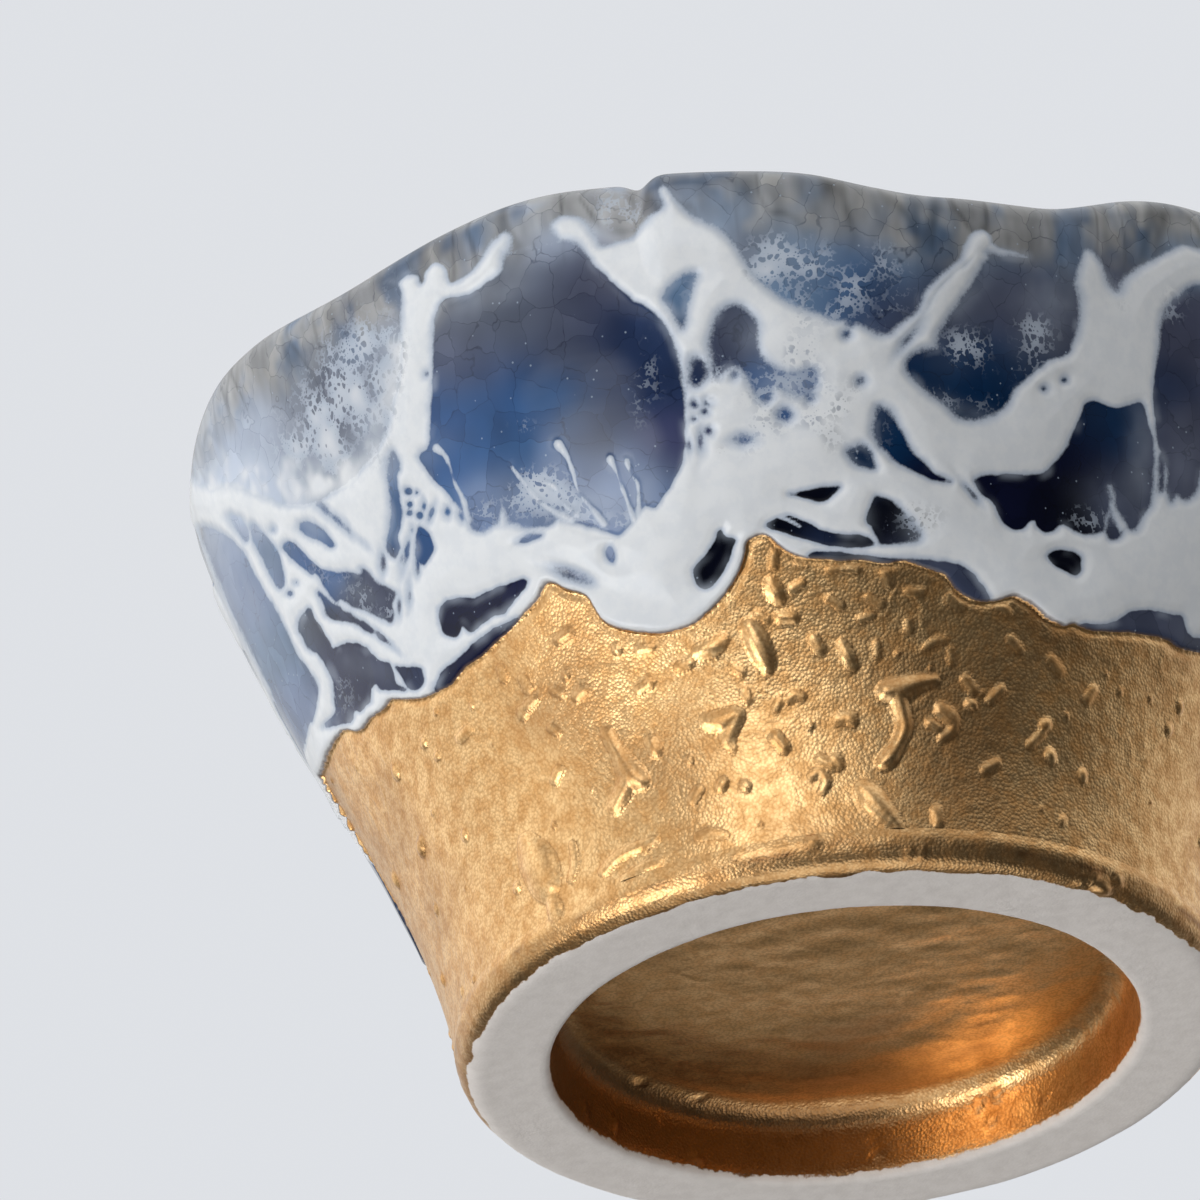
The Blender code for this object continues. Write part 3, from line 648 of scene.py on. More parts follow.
def traced_tint(px, py):
    """The blue's colour: the tones melted into each other, navy where none is near."""
    weights = np.full(px.shape, 1e-4)
    total = weights[..., None] * linear(TONES["navy"])
    for tone, places in TONE_PLACES.items():
        for x, y, reach in places:
            w = np.exp(-0.5 * ((px - x) ** 2 + (py - y) ** 2) / (reach * 0.9) ** 2)
            total += w[..., None] * linear(TONES[tone])
            weights += w
    return total / weights[..., None]


def traced_foam(px, py):
    """Distance in pixels inside the white glaze, negative where the blue shows."""
    opening = np.full(px.shape, -FAR)
    for outline in (*WINDOWS.values(), *UNDER_LIP.values()):
        opening = np.maximum(opening, inside_distance(px, py, outline))
    for hole in HOLES:
        opening = np.maximum(opening, hole_distance(px, py, hole))
    foam = -opening
    for thread in THREADS:
        foam = np.maximum(foam, thread_distance(px, py, thread))
    return foam


def traced_gold(px, py):
    """Distance in pixels below the gold's upper edge, positive on the gold."""
    left, right, below = GOLD_EDGE[0] - 300, GOLD_EDGE[-2] + 300, 1500
    outline = GOLD_EDGE + (right, below, left, below)
    return inside_distance(px, py, outline, reach=60.0)


# The sides that the photograph hides have the same lace, made up: scattered middles up the wall
LACE_COUNT, LACE_LOW, LACE_SPAN = 72, 13.0, 27.0       # millimetres
GOLDEN_SHARE = 0.6180339887     # spreads the middles round the cup
LACE_RADIUS = 31.0              # the wall's radius, roughly


def lace_cells(arc, height, around, seed):
    """Half the difference of the distances to the two nearest of many scattered middles, in millimetres."""
    random = np.random.RandomState(seed)
    first, second = np.full(arc.shape, 1e9), np.full(arc.shape, 1e9)
    tone = np.zeros(arc.shape)
    for k in range(LACE_COUNT):
        x = around * (k * GOLDEN_SHARE % 1.0) + random.uniform(-1.5, 1.5)
        y = LACE_LOW + LACE_SPAN * ((k + 0.5) / LACE_COUNT) ** 0.80 + random.uniform(-1.5, 1.5)
        away = (arc - x + around / 2) % around - around / 2
        grow = 0.62 + 0.50 * (y - LACE_LOW) / LACE_SPAN
        d = np.hypot(away + 0.35 * (height - y), (height - y) * 0.82) / grow
        tone = np.where(d < first, random.uniform(), tone)
        second = np.where(d < first, first, np.minimum(second, d))
        first = np.minimum(first, d)
    return 0.5 * (second - first) - 0.30 * np.maximum(first - 2.0, 0.0), tone


def hidden_lace(grid):
    """Foam and tone for the whole outside, worked out from places on the cup alone."""
    points = grid.flat(grid.base)
    warp = 1.3 * noise(points, 5.0, 11) + 0.5 * noise(points, 1.8, 12)
    warp_up = 1.3 * noise(points, 5.0, 13) + 0.5 * noise(points, 1.8, 14)
    around = 2 * math.pi * LACE_RADIUS
    arc = grid.flat(grid.azimuth) / 360.0 * around + warp
    height = grid.flat(grid.height) + warp_up
    edge, tone = lace_cells(arc, height, around, 5)
    pools = smooth(noise(points, 6.0, 15) + 0.45 * noise(points, 2.6, 19), -0.1, 0.9)
    width = 0.30 + 0.35 * noise(points, 3.5, 17) + 2.6 * pools - 0.5 * smooth(height, 30.0, 38.0)
    foam = np.maximum(width, 0.16) - edge
    pits = smooth(noise(points, 1.5, 18), 0.50, 0.62)
    foam -= 1.2 * pits * smooth(foam, 0.2, 0.7)
    bare = np.exp(-((grid.flat(grid.azimuth) + 90.0) / 6.0) ** 2) * smooth(24.0 - height, 0.0, 4.0)
    foam = foam - 6.0 * bare
    under_lip = smooth(height + 1.6 * noise(points, 4.0, 16), 33.5, 36.5)
    return foam - 2.2 * under_lip, tone


def hidden_gold_edge(azimuth):
    """Height of the gold's upper edge where it isn't seen: round drips between sharp peaks."""
    a = np.radians(azimuth)
    edge = 15.4 + 1.7 * np.sin(2 * a + 0.7) + 1.1 * np.sin(5 * a + 2.0)
    edge += 2.2 * (1.0 - np.abs(np.sin(3.5 * a + 0.4))) ** 1.6
    edge -= 5.5 * np.exp(-((azimuth + 94.0) / 14.0) ** 4)
    return edge + 0.5 * np.sin(17 * a + 1.0)


def visible_share(grid, px, py):
    """1 where the photograph shows the wall clearly, falling to 0 on what it hides."""
    sight = CAMERA[0] - grid.base
    sight /= np.linalg.norm(sight, axis=-1, keepdims=True)
    facing = grid.flat((sight * grid.normal).sum(-1))
    return smooth(facing, 0.02, 0.13) * (1.0 - smooth(px, 1203.0, 1245.0))


def roughen(points, foam):
    """The edge of the white, made ragged."""
    return foam + 0.07 * noise(points, 0.9, 41) + 0.04 * noise(points, 0.42, 42)


def thin_white(points, foam, mist):
    """Mist broken up by drifts, with a faint halo about the white."""
    drift = 0.80 + 0.32 * noise(points, 1.5, 24) + 0.22 * noise(points, 0.6, 25)
    halo = smooth(foam, -0.50, 0.02) * smooth(noise(points, 1.1, 26), -0.1, 0.8) * 0.40
    return np.clip(np.maximum(mist * drift, halo), 0.0, 1.0)


def clouded(points, tint):
    """The glaze pools darker and thinner in clouds."""
    cloud = 0.5 + 0.5 * noise(points, 2.6, 27) * 0.7 + 0.3 * noise(points, 1.1, 28)
    return tint * (0.80 + 0.40 * np.clip(cloud, 0.0, 1.0))[:, None]


def outside_fields(grid):
    """Everything that the outside's material and relief need, one value a point."""
    points = grid.flat(grid.base)
    height = grid.flat(grid.height)
    px, py = project(points)
    shown = visible_share(grid, px, py)
    hidden_foam, hidden_tone = hidden_lace(grid)
    near = shown > 0.0
    foam, gold = hidden_foam.copy(), hidden_gold_edge(grid.flat(grid.azimuth)) - height
    x, y, share = px[near], py[near], shown[near]
    foam[near] = share * traced_foam(x, y) / PX_PER_MM + (1 - share) * hidden_foam[near]
    gold[near] = share * traced_gold(x, y) / PX_PER_MM + (1 - share) * gold[near]
    foam = roughen(points, foam)
    mist = 0.30 * smooth(noise(points, 6.0, 21), 0.1, 0.9)
    mist = np.maximum(mist, 0.55 * smooth(height, 33.0, 37.0) * smooth(noise(points, 4.0, 22), -0.3, 0.7))
    patchy = noise(points, 6.0, 23) + 0.5 * noise(points, 2.3, 27)
    froth = 0.75 * smooth(patchy, 0.1, 1.0) * smooth(height, 18.0, 30.0)
    mist[near] = share * patches(x, y, MIST) + (1 - share) * mist[near]
    froth[near] = share * patches(x, y, FROTH) + (1 - share) * froth[near]
    tint = hidden_tint(points, height, hidden_tone)
    tint[near] = share[:, None] * traced_tint(x, y) + (1 - share[:, None]) * tint[near]
    soft = 0.45 * smooth(noise(points, 8.0, 38), -0.2, 0.7) * smooth(height, 20.0, 32.0)
    soft[near] = 0.45 * share * patches(x, y, SOFT) + (1 - share) * soft[near]
    return {"foam": foam, "gold": gold, "mist": thin_white(points, foam, mist), "soft": soft,
            "froth": froth * (0.62 + 0.45 * noise(points, 1.9, 29) + 0.25 * noise(points, 0.8, 30)),
            "tint": streaked(points, height, clouded(points, tint)), "px": px, "py": py, "shown": shown}


def streaked(points, height, tint):
    """Fine streaks and beige mottling running down from the lip."""
    run = noise(points * (1.0, 1.0, 0.22), 0.75, 34) + 0.6 * noise(points * (1.0, 1.0, 0.30), 0.35, 35)
    near_lip = smooth(height, 33.5, 37.0)
    patch = smooth(noise(points * (1.0, 1.0, 0.5), 2.0, 39) + 0.5 * noise(points, 0.8, 40), -0.7, 0.3)
    beige = smooth(height + 1.4 * noise(points, 2.4, 41), 33.8, 36.8)
    tint = layered(tint, lip_dark=0.60 * (1.0 - patch) * near_lip, lip_beige=0.85 * patch * beige)
    seam = np.exp(-(noise(points * (1.0, 1.0, 0.25), 1.5, 42) / 0.09) ** 2)
    return tint * (1.0 + (0.26 * run - 0.40 * seam) * near_lip)[:, None]


def layered(colour, **layers):
    """Colours with tones laid over them in turn, each by its share."""
    for tone, share in layers.items():
        colour = colour + (linear(TONES[tone]) - colour) * share[..., None]
    return colour


def hidden_tint(points, height, tone):
    """Near black low on the wall, navy, clear blue and dusk above, pale under the lip."""
    return layered(
        np.broadcast_to(linear(TONES["ink"]), (len(points), 3)),
        navy=smooth(height, 14.0, 20.0),
        ocean=0.8 * smooth(tone + 0.3 * noise(points, 5.0, 31), 0.45, 0.8),
        dusk=0.9 * smooth(0.9 - tone + 0.4 * noise(points, 6.0, 32), 0.55, 0.9),
        midnight=0.6 * smooth(noise(points, 4.0, 33), 0.2, 0.8),
        steel=0.75 * smooth(height, 30.0, 36.0),
        grey_beige=0.7 * smooth(height, 36.3, 38.2))


WHITE_RISE, WHITE_EDGE, GLAZE_OVER_GOLD = 0.15, 0.60, 0.20     # millimetres


def rounded_rise(inside, width):
    """0 outside, rising like a round edge to 1 at `width` inside."""
    t = np.clip(inside / width, 0.0, 1.0)
    return np.sqrt(np.maximum(1.0 - (1.0 - t) ** 2, 0.0))


BEAD_GROW, BEAD_SKIRT = 0.56, 2.5       # half a bead's width: share of the traced width, pixels added


def traced_beads(px, py, near):
    """Height of the traced gold beads in millimetres."""
    rise = np.zeros(px.shape)
    x, y = px[near], py[near]
    total = np.zeros(x.shape)
    for height, *run in GOLD_BEADS:
        widest = BEAD_GROW * max(run[2::3]) + BEAD_SKIRT
        line = smooth_line(run, False, 3)
        close = near_box(x, y, line, 30.0)
        u, v = x[close], y[close]
        dome = np.zeros(u.shape)
        for away, width in stretches(u, v, line):
            half = BEAD_GROW * width + BEAD_SKIRT
            dome = np.maximum(dome, half / widest * np.maximum(1.0 - (away / half) ** 2, 0.0) ** 0.9)
        total[close] = np.maximum(total[close], height * dome)
    rise[near] = total
    return rise


def scattered_beads(points, seed, cell, most, share):
    """Small domed drops, longer than wide, at random places, as a height in millimetres."""
    p = points / cell
    base = np.floor(p).astype(np.int64)
    rise = np.zeros(len(points))
    for dx in (-1, 0, 1):
        for dy in (-1, 0, 1):
            for dz in (-1, 0, 1):
                c = base + (dx, dy, dz)
                chance, size, lean, *middle = (hash01(c[:, 0], c[:, 1], c[:, 2], seed + k) for k in range(6))
                away = points - (c + np.stack(middle, -1)) * cell
                radius = most * (0.30 + 0.70 * size ** 2)
                along = away[:, 2] * np.cos(2.2 * (lean - 0.5)) + away[:, 0] * np.sin(2.2 * (lean - 0.5))
                far = np.sqrt(np.maximum((away ** 2).sum(1) - 0.45 * along ** 2, 0.0))
                dome = 0.50 * radius * np.maximum(1.0 - (far / radius) ** 2, 0.0) ** 0.75
                rise = np.where(chance < share, np.maximum(rise, dome), rise)
    return rise


def wrinkles(points, size, seed):
    """Short worm-like ridges, from 0 to 1."""
    return 1.0 - np.abs(noise(points + 0.4 * size * noise(points, 2.2 * size, seed + 1)[:, None], size, seed))


BAND_HEIGHT, BAND_STEP = 1.25, 0.09     # millimetres: the coating's edge just above the foot ring


def band_above(points):
    """Height above the uneven edge of the upper coating, in millimetres, and where that edge runs."""
    radius = np.hypot(points[:, 0], points[:, 1])
    above = points[:, 2] - BAND_HEIGHT - 0.20 * noise(points, 3.4, 75) - 0.12 * noise(points, 0.9, 76)
    return above, smooth(radius, 20.0, 20.6)


# Scattered drops: seed, cell and largest radius in millimetres, share of the cells that hold one
SCATTERED = ((51, 3.4, 0.95, 0.32), (61, 1.6, 0.45, 0.62))


def gold_relief(points):
    """The gold coating's own relief in millimetres, and how much of it is beads."""
    beads = np.maximum(*(scattered_beads(points, *kind) for kind in SCATTERED))
    creases = 0.035 * wrinkles(points, 1.5, 71) ** 6 * smooth(noise(points, 5.0, 77), -0.2, 0.6)
    above, outer = band_above(points)
    step = BAND_STEP * smooth(above, -0.10, 0.10) + 0.05 * np.exp(-((above - 0.10) / 0.20) ** 2)
    lumps = creases + 0.012 * noise(points, 0.50, 73) + 0.030 * noise(points, 3.0, 74) + step * outer
    return beads + lumps, beads


def outside_relief(grid, fields):
    """How far each point of the outside stands out from the turned wall, in millimetres."""
    points = grid.flat(grid.base)
    height = grid.flat(grid.height)
    foam = fields["foam"]
    body = 1.0 - smooth(fields["mist"], 0.35, 0.95) * 0.4
    white = (WHITE_RISE * smooth(foam, -0.10, WHITE_EDGE) + 0.10 * smooth(foam, 0.3, 1.8)) * body
    lip_lumps = 0.06 * noise(points * (1.0, 1.0, 0.5), 1.1, 45) * smooth(height, 33.5, 36.5)
    glaze = GLAZE_OVER_GOLD + white + 0.03 * noise(points, 2.5, 43) + lip_lumps
    edge = fields["gold"] + 0.05 * noise(points, 0.8, 44)
    covered = rounded_rise(-edge + 0.02, 0.40)
    on_gold = smooth(edge, 0.05, 0.5)
    traced = traced_beads(fields["px"], fields["py"], fields["shown"] > 0.2)
    lumps, beads = gold_relief(points)
    gold = (traced + lumps * (1.0 - 0.7 * smooth(traced, 0.0, 0.2))) * on_gold
    fade = smooth(CUP_HEIGHT - 0.3 - height, 0.0, 2.2)
    return (glaze * covered + gold * (1 - covered)) * fade, np.maximum(traced, beads) * on_gold


def ring_edge(grid):
    """Distance into the bare clay ring, ragged where the gold stops, in millimetres."""
    points = grid.flat(grid.base)
    radius = np.hypot(points[:, 0], points[:, 1])
    rag = 0.16 * noise(points, 1.4, 81) + 0.10 * noise(points, 0.6, 82)
    chips = 0.75 * smooth(noise(points, 2.6, 83), 0.55, 0.95)
    reach = 0.50 - 0.45 * points[:, 1] / FOOT_RADIUS
    outer = FOOT_RADIUS - reach - radius + rag - chips
    inner = radius - (RECESS_RADIUS - 0.05) + 0.10 * noise(points, 0.9, 84)
    low = 0.45 - points[:, 2] + 0.5 * rag
    return np.minimum(np.minimum(outer, inner), low)


def foot_fields(grid):
    """Gold all over the foot and its recess, but for the bare ring."""
    count = grid.rows * grid.cols
    clay = ring_edge(grid)
    points = grid.flat(grid.base)
    recess = smooth(RECESS_RADIUS - 0.8 - np.hypot(points[:, 0], points[:, 1]), 0.0, 1.0)
    # soft marks the recess floor here, where the gold gets its painted warmer light and a smoother finish.
    return {"foam": np.full(count, -2.0), "gold": np.full(count, 3.0), "mist": np.zeros(count),
            "soft": 0.8 * recess, "froth": np.zeros(count), "clay": clay,
            "tint": np.tile(linear(TONES["navy"]), (count, 1))}


def foot_relief(grid, fields):
    """Swirls on the recess floor, the gold's relief round it and the clay's grain on the ring."""
    points = grid.flat(grid.base)
    radius = np.hypot(points[:, 0], points[:, 1])
    on_gold = smooth(-fields["clay"], 0.0, 0.30)
    ripple = 0.022 * np.sin(radius * 2.3 + 2.6 * noise(points, 6.0, 91)) * smooth(radius, 1.5, 5.0)
    ripple += 0.10 * noise(points * (1.0, 1.8, 1.0), 5.0, 92)
    ripple += 0.04 * noise(points * (1.0, 2.0, 1.0), 1.8, 93)
    recess = smooth(RECESS_RADIUS - 1.0 - radius, 0.0, 1.0)
    lumps, beads = gold_relief(points)
    ring = 0.014 * noise(points, 0.5, 101) + 0.03 * noise(points, 3.0, 102)
    rise = (lumps - beads * recess + ripple * recess + 0.04) * on_gold + ring * (1 - on_gold)
    return rise, beads * on_gold * (1 - recess)


def inside_fields(grid):
    """The hidden inside: mist at the lip, then blue glaze pooling darker towards the bottom."""
    points = grid.flat(grid.base)
    height = grid.flat(grid.height)
    deep = smooth(26.0 - height + 3.0 * noise(points, 8.0, 111), 0.0, 16.0)
    tint = layered(np.broadcast_to(linear(TONES["steel"]), (len(points), 3)),
                   ocean=smooth(37.5 - height, 0.0, 7.0), navy=deep,
                   grey_beige=0.7 * smooth(height, 36.3, 38.2))
    upper = smooth(height + 2.5 * noise(points, 5.0, 113), 28.0, 35.0)
    foam = 0.9 * noise(points, 6.0, 112) - 1.0 + 1.5 * upper - 2.0 * smooth(height, 34.5, 36.5)
    mist = 0.45 * smooth(height, 24.0, 36.0) * smooth(noise(points, 5.0, 114), -0.4, 0.7)
    patchy = noise(points, 5.0, 115) + 0.6 * noise(points, 2.2, 116)
    froth = 0.60 * smooth(patchy, 0.2, 1.2) * smooth(height, 20.0, 30.0)
    foam = roughen(points, foam)
    return {"foam": foam, "gold": np.full(len(points), -6.0), "mist": thin_white(points, foam, mist),
            "soft": np.full(len(points), 0.4), "froth": froth,
            "tint": streaked(points, height, clouded(points, tint))}


def inside_relief(grid, fields):
    """The white's thickness and slow waves of the glaze, fading out at the lip."""
    points = grid.flat(grid.base)
    height = grid.flat(grid.height)
    white = WHITE_RISE * smooth(fields["foam"], -0.10, WHITE_EDGE)
    fade = smooth(CUP_HEIGHT - 0.3 - height, 0.0, 2.2)
    return (white + 0.03 * noise(points, 3.0, 122)) * fade, np.zeros(len(points))


def put_attributes(mesh, fields, picked):
    for name in ("foam", "soft", "gold", "mist", "froth", "clay", "bead", "patina_and_shade"):
        layer = mesh.attributes.new(name, "FLOAT", "POINT")
        layer.data.foreach_set("value", fields[name][picked].astype(np.float32))
    layer = mesh.attributes.new("tint", "FLOAT_COLOR", "POINT")
    rgba = np.ones((len(picked), 4), np.float32)
    rgba[:, :3] = fields["tint"][picked]
    layer.data.foreach_set("color", rgba.ravel())


def band_mesh(name, grid, points, normals, fields, columns, material):
    """One piece: the given run of columns of the grid, which may close round."""
    rows = np.arange(grid.rows)
    picked = (rows[:, None] * grid.cols + (columns[None, :] % grid.cols)).ravel()
    wide = len(columns)
    closed = wide == grid.cols
    k = np.arange(wide if closed else wide - 1)
    a = (rows[:-1, None] * wide + k[None, :]).ravel()
    b = (rows[:-1, None] * wide + ((k + 1) % wide)[None, :]).ravel()
    quads = np.stack([a, b, b + wide, a + wide], -1)
    mesh = bpy.data.meshes.new(name)
    mesh.vertices.add(len(picked))
    mesh.vertices.foreach_set("co", (points[picked] * MM).astype(np.float32).ravel())
    mesh.loops.add(quads.size)
    mesh.loops.foreach_set("vertex_index", quads.astype(np.int32).ravel())
    mesh.polygons.add(len(quads))
    mesh.polygons.foreach_set("loop_start", np.arange(0, quads.size, 4, dtype=np.int32))
    mesh.update(calc_edges=True)
    mesh.polygons.foreach_set("use_smooth", np.ones(len(quads), bool))
    put_attributes(mesh, fields, picked)
    mesh.normals_split_custom_set_from_vertices([tuple(n) for n in normals[picked]])
    mesh.materials.append(material)
    piece = bpy.data.objects.new(name, mesh)
    bpy.context.scene.collection.objects.link(piece)
    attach(piece, "root")
    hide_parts("cup")


# Below this height the painted shade on the recess's side is laid in as well.
PATINA_AND_SHADE_TOP = 4.4        # millimetres: above it the gold has no dark creases


def raise_surface(grid, fields, relief):
    """Moves the grid's points out along their normals and works the normals out again."""
    rise, bead = relief
    fields["bead"] = bead
    if "clay" not in fields:
        fields["clay"] = np.full(len(rise), -3.0)
    base = grid.flat(grid.base)
    above, outer = band_above(base)
    crease = np.exp(-((above + 0.06) / 0.09) ** 2) + 0.45 * smooth(-above, 0.0, 0.2)
    # Patinated patches first; the painted shade on the recess's side is joined to them below.
    patina_and_shade = 0.50 * smooth(noise(base, 7.0, 36) + 0.5 * noise(base, 2.5, 37), 0.0, 1.0)
    # Painted shade: the recess's corner and side wall, darkened on its left half only.
    side = smooth(np.hypot(base[:, 0], base[:, 1]), RECESS_RADIUS - 1.6, RECESS_RADIUS - 0.6) * (1.0 - outer)
    side *= 1.0 - smooth(base[:, 0], 0.0, 9.0)
    low = base[:, 2] < PATINA_AND_SHADE_TOP
    fields["patina_and_shade"] = np.maximum(patina_and_shade, np.maximum(crease * outer, side) * low)
    points = base + grid.flat(grid.normal) * rise[:, None]
    normals = grid.normals(points.reshape(grid.rows, grid.cols, 3)).reshape(-1, 3)
    return points, normals


def build_outside(material):
    grid = Grid(wall_profile(), WALL_SPACING, COLUMNS)
    fields = outside_fields(grid)
    points, normals = raise_surface(grid, fields, outside_relief(grid, fields))
    third = FRONT_COUNT // 3
    for k, name in enumerate(("cup_wall_left", "cup_wall_front", "cup_wall_right")):
        band_mesh(name, grid, points, normals, fields, np.arange(k * third, (k + 1) * third + 1), material)
    band_mesh("cup_wall_back", grid, points, normals, fields,
              np.arange(FRONT_COUNT, FRONT_COUNT + BACK_COUNT + 1), material)


def build_foot(material):
    grid = Grid(foot_profile(), FOOT_SPACING, COLUMNS[::2])
    fields = foot_fields(grid)
    points, normals = raise_surface(grid, fields, foot_relief(grid, fields))
    points[:, 2] = np.maximum(points[:, 2], 0.0)
    band_mesh("cup_foot", grid, points, normals, fields, np.arange(grid.cols), material)


def build_inside(material):
    grid = Grid(inner_profile(), INSIDE_SPACING, COLUMNS[::2])
    fields = inside_fields(grid)
    points, normals = raise_surface(grid, fields, inside_relief(grid, fields))
    band_mesh("cup_inside", grid, points, normals, fields, np.arange(grid.cols), material)


class Nodes:
    """Short ways to add shader nodes to one material."""

    def __init__(self, name):
        self.material = bpy.data.materials.new(name)
        self.material.use_nodes = True
        self.tree = self.material.node_tree
        self.tree.nodes.clear()
        self.place = self.add("ShaderNodeTexCoord").outputs["Object"]

    def add(self, kind, **settings):
        node = self.tree.nodes.new(kind)
        for key, value in settings.items():
            setattr(node, key, value)
        return node

    def feed(self, socket, value):
        if isinstance(value, bpy.types.NodeSocket):
            self.tree.links.new(value, socket)
        else:
            socket.default_value = value

    def math(self, operation, a, b=0.0, c=0.0):
        node = self.add("ShaderNodeMath", operation=operation)
        for socket, value in zip(node.inputs, (a, b, c)):
            self.feed(socket, value)
        return node.outputs[0]

    def step(self, value, low, high, bottom=0.0, top=1.0):
        """From bottom to top as the value goes from low to high, eased and held beyond."""
        node = self.add("ShaderNodeMapRange", interpolation_type="SMOOTHSTEP")
        for socket, part in zip(node.inputs, (value, low, high, bottom, top)):
            self.feed(socket, part)
        return node.outputs[0]

    def field(self, name, output="Fac"):
        return self.add("ShaderNodeAttribute", attribute_name=name).outputs[output]

    def noise(self, size, detail=3.0, rough=0.55):
        """Noise with features about `size` millimetres across, from 0 to 1."""
        node = self.add("ShaderNodeTexNoise")
        node.inputs["Scale"].default_value = 1.0 / (size * MM)
        node.inputs["Detail"].default_value = detail
        node.inputs["Roughness"].default_value = rough
        self.feed(node.inputs["Vector"], self.place)
        return node.outputs["Fac"]

    def cells(self, size, feature="F1", place=None, output="Distance"):
        node = self.add("ShaderNodeTexVoronoi", feature=feature)
        node.inputs["Scale"].default_value = 1.0 / (size * MM)
        self.feed(node.inputs["Vector"], place or self.place)
        return node.outputs[output]

    def part(self, colour):
        """The red part of a colour, as a plain number."""
        node = self.add("ShaderNodeSeparateColor")
        self.feed(node.inputs["Color"], colour)
        return node.outputs["Red"]

    def bent(self, size, amount):
        """Places pushed about by noise, so that cells and cracks aren't straight."""
        noise = self.add("ShaderNodeTexNoise")
        noise.inputs["Scale"].default_value = 1.0 / (size * MM)
        self.feed(noise.inputs["Vector"], self.place)
        push = self.add("ShaderNodeVectorMath", operation="MULTIPLY_ADD")
        self.feed(push.inputs[0], noise.outputs["Color"])
        push.inputs[1].default_value = (amount * MM,) * 3
        self.feed(push.inputs[2], self.place)
        return push.outputs[0]

    def mix(self, share, a, b, kind="MIX"):
        node = self.add("ShaderNodeMix", data_type="RGBA", blend_type=kind)
        sockets = [s for s in node.inputs if s.type == "RGBA"]
        self.feed(node.inputs[0], share)
        self.feed(sockets[0], a if isinstance(a, bpy.types.NodeSocket) else (*a, 1.0))
        self.feed(sockets[1], b if isinstance(b, bpy.types.NodeSocket) else (*b, 1.0))
        return next(s for s in node.outputs if s.type == "RGBA")

    def blend(self, share, a, b):
        """a where share is 0, b where it is 1, for plain numbers."""
        node = self.add("ShaderNodeMix", data_type="FLOAT")
        self.feed(node.inputs[0], share)
        self.feed(node.inputs[2], a)
        self.feed(node.inputs[3], b)
        return node.outputs[0]


CRACKLE_SIZE, PIP_SIZE, BUBBLE_SIZES = 1.7, 0.78, (0.44, 0.19)      # millimetres
WHITE_THIN, WHITE_THICK = (0.40, 0.45, 0.53), (0.68, 0.69, 0.70)


def glaze_colour(n, ragged, tone, bent):
    """Blue glaze with cracks and pips under the white: solid foam, bubbles of froth, and mist."""
    tint = n.field("tint", "Color")
    crack = n.step(n.cells(CRACKLE_SIZE, "DISTANCE_TO_EDGE", bent), 0.003, 0.020, 1.0, 0.0)
    line = n.math("MULTIPLY", crack, n.step(ragged, -0.4, 0.4, 0.15, 0.80))
    facet = n.cells(CRACKLE_SIZE, "F1", bent, "Color")
    shadow = n.step(n.part(facet), 0.0, 1.0, 0.0, 0.38)
    tint = n.mix(shadow, tint, n.mix(1.0, tint, (0.35, 0.40, 0.50), "MULTIPLY"))
    blue = n.mix(line, tint, n.mix(1.0, tint, (0.28, 0.30, 0.36), "MULTIPLY"))
    blue = n.mix(n.step(n.cells(PIP_SIZE), 0.050, 0.095, 0.50, 0.0), blue, (0.36, 0.43, 0.52))
    soft, foam = n.field("soft"), n.math("MULTIPLY_ADD", ragged, 0.14, n.field("foam"))
    stipple = n.math("SUBTRACT", n.noise(0.17, 2.0, 0.6), 0.5)
    fringed = n.math("MULTIPLY_ADD", n.math("MULTIPLY", soft, 1.1), stipple, foam)
    solid = n.step(fringed, n.math("MULTIPLY_ADD", soft, -0.50, -0.04),
                   n.math("MULTIPLY_ADD", soft, 0.50, 0.06))
    froth = n.field("froth")
    large, small = BUBBLE_SIZES
    hole = n.math("MINIMUM", n.cells(large, "F1", bent), n.math("MULTIPLY_ADD", n.cells(small), 0.75, 0.22))
    size = n.math("MULTIPLY_ADD", froth, -0.62, 0.68)
    net = n.math("SUBTRACT", n.math("MULTIPLY_ADD", ragged, 0.50, hole), size)
    lace = n.math("MULTIPLY", n.step(net, -0.04, 0.07), n.step(froth, 0.04, 0.55, 0.0, 0.88))
    pierced = n.math("MULTIPLY", n.step(froth, 0.25, 0.75, 0.0, 0.70), n.step(net, -0.04, 0.07, 1.0, 0.0))
    solid = n.math("MULTIPLY", solid, n.math("SUBTRACT", 1.0, pierced))
    white = n.math("MAXIMUM", n.math("MAXIMUM", solid, lace), n.field("mist"))
    inner = n.step(foam, 0.0, n.math("MULTIPLY_ADD", soft, 1.1, 0.30))
    thick = n.math("MAXIMUM", n.step(n.field("mist"), 0.40, 0.95), n.step(froth, 0.45, 1.1))
    inner = n.math("MULTIPLY", n.math("MAXIMUM", inner, thick), n.step(tone, 0.0, 1.0, 0.86, 1.0))
    shade = n.mix(inner, WHITE_THIN, WHITE_THICK)
    return n.mix(white, blue, shade), white


# The last gold is the recess's warmer amber: painted light bounced round the recess.
GOLD_DEEP, GOLD_PALE, GOLD_RECESS_LIGHT = (0.68, 0.375, 0.143), (0.90, 0.580, 0.270), (0.92, 0.51, 0.185)
# Below: the dark of the patinated patches, also painting shade on the recess's side, then painted shade round
# each bead's foot and in the grain's pits.
PATINA_AND_SHADE, BEAD_FOOT_SHADE, GOLD_PIT_SHADE = (0.33, 0.175, 0.075), (0.36, 0.18, 0.07), (0.40, 0.185, 0.055)
GRAIN_SIZE = 0.175      # millimetres


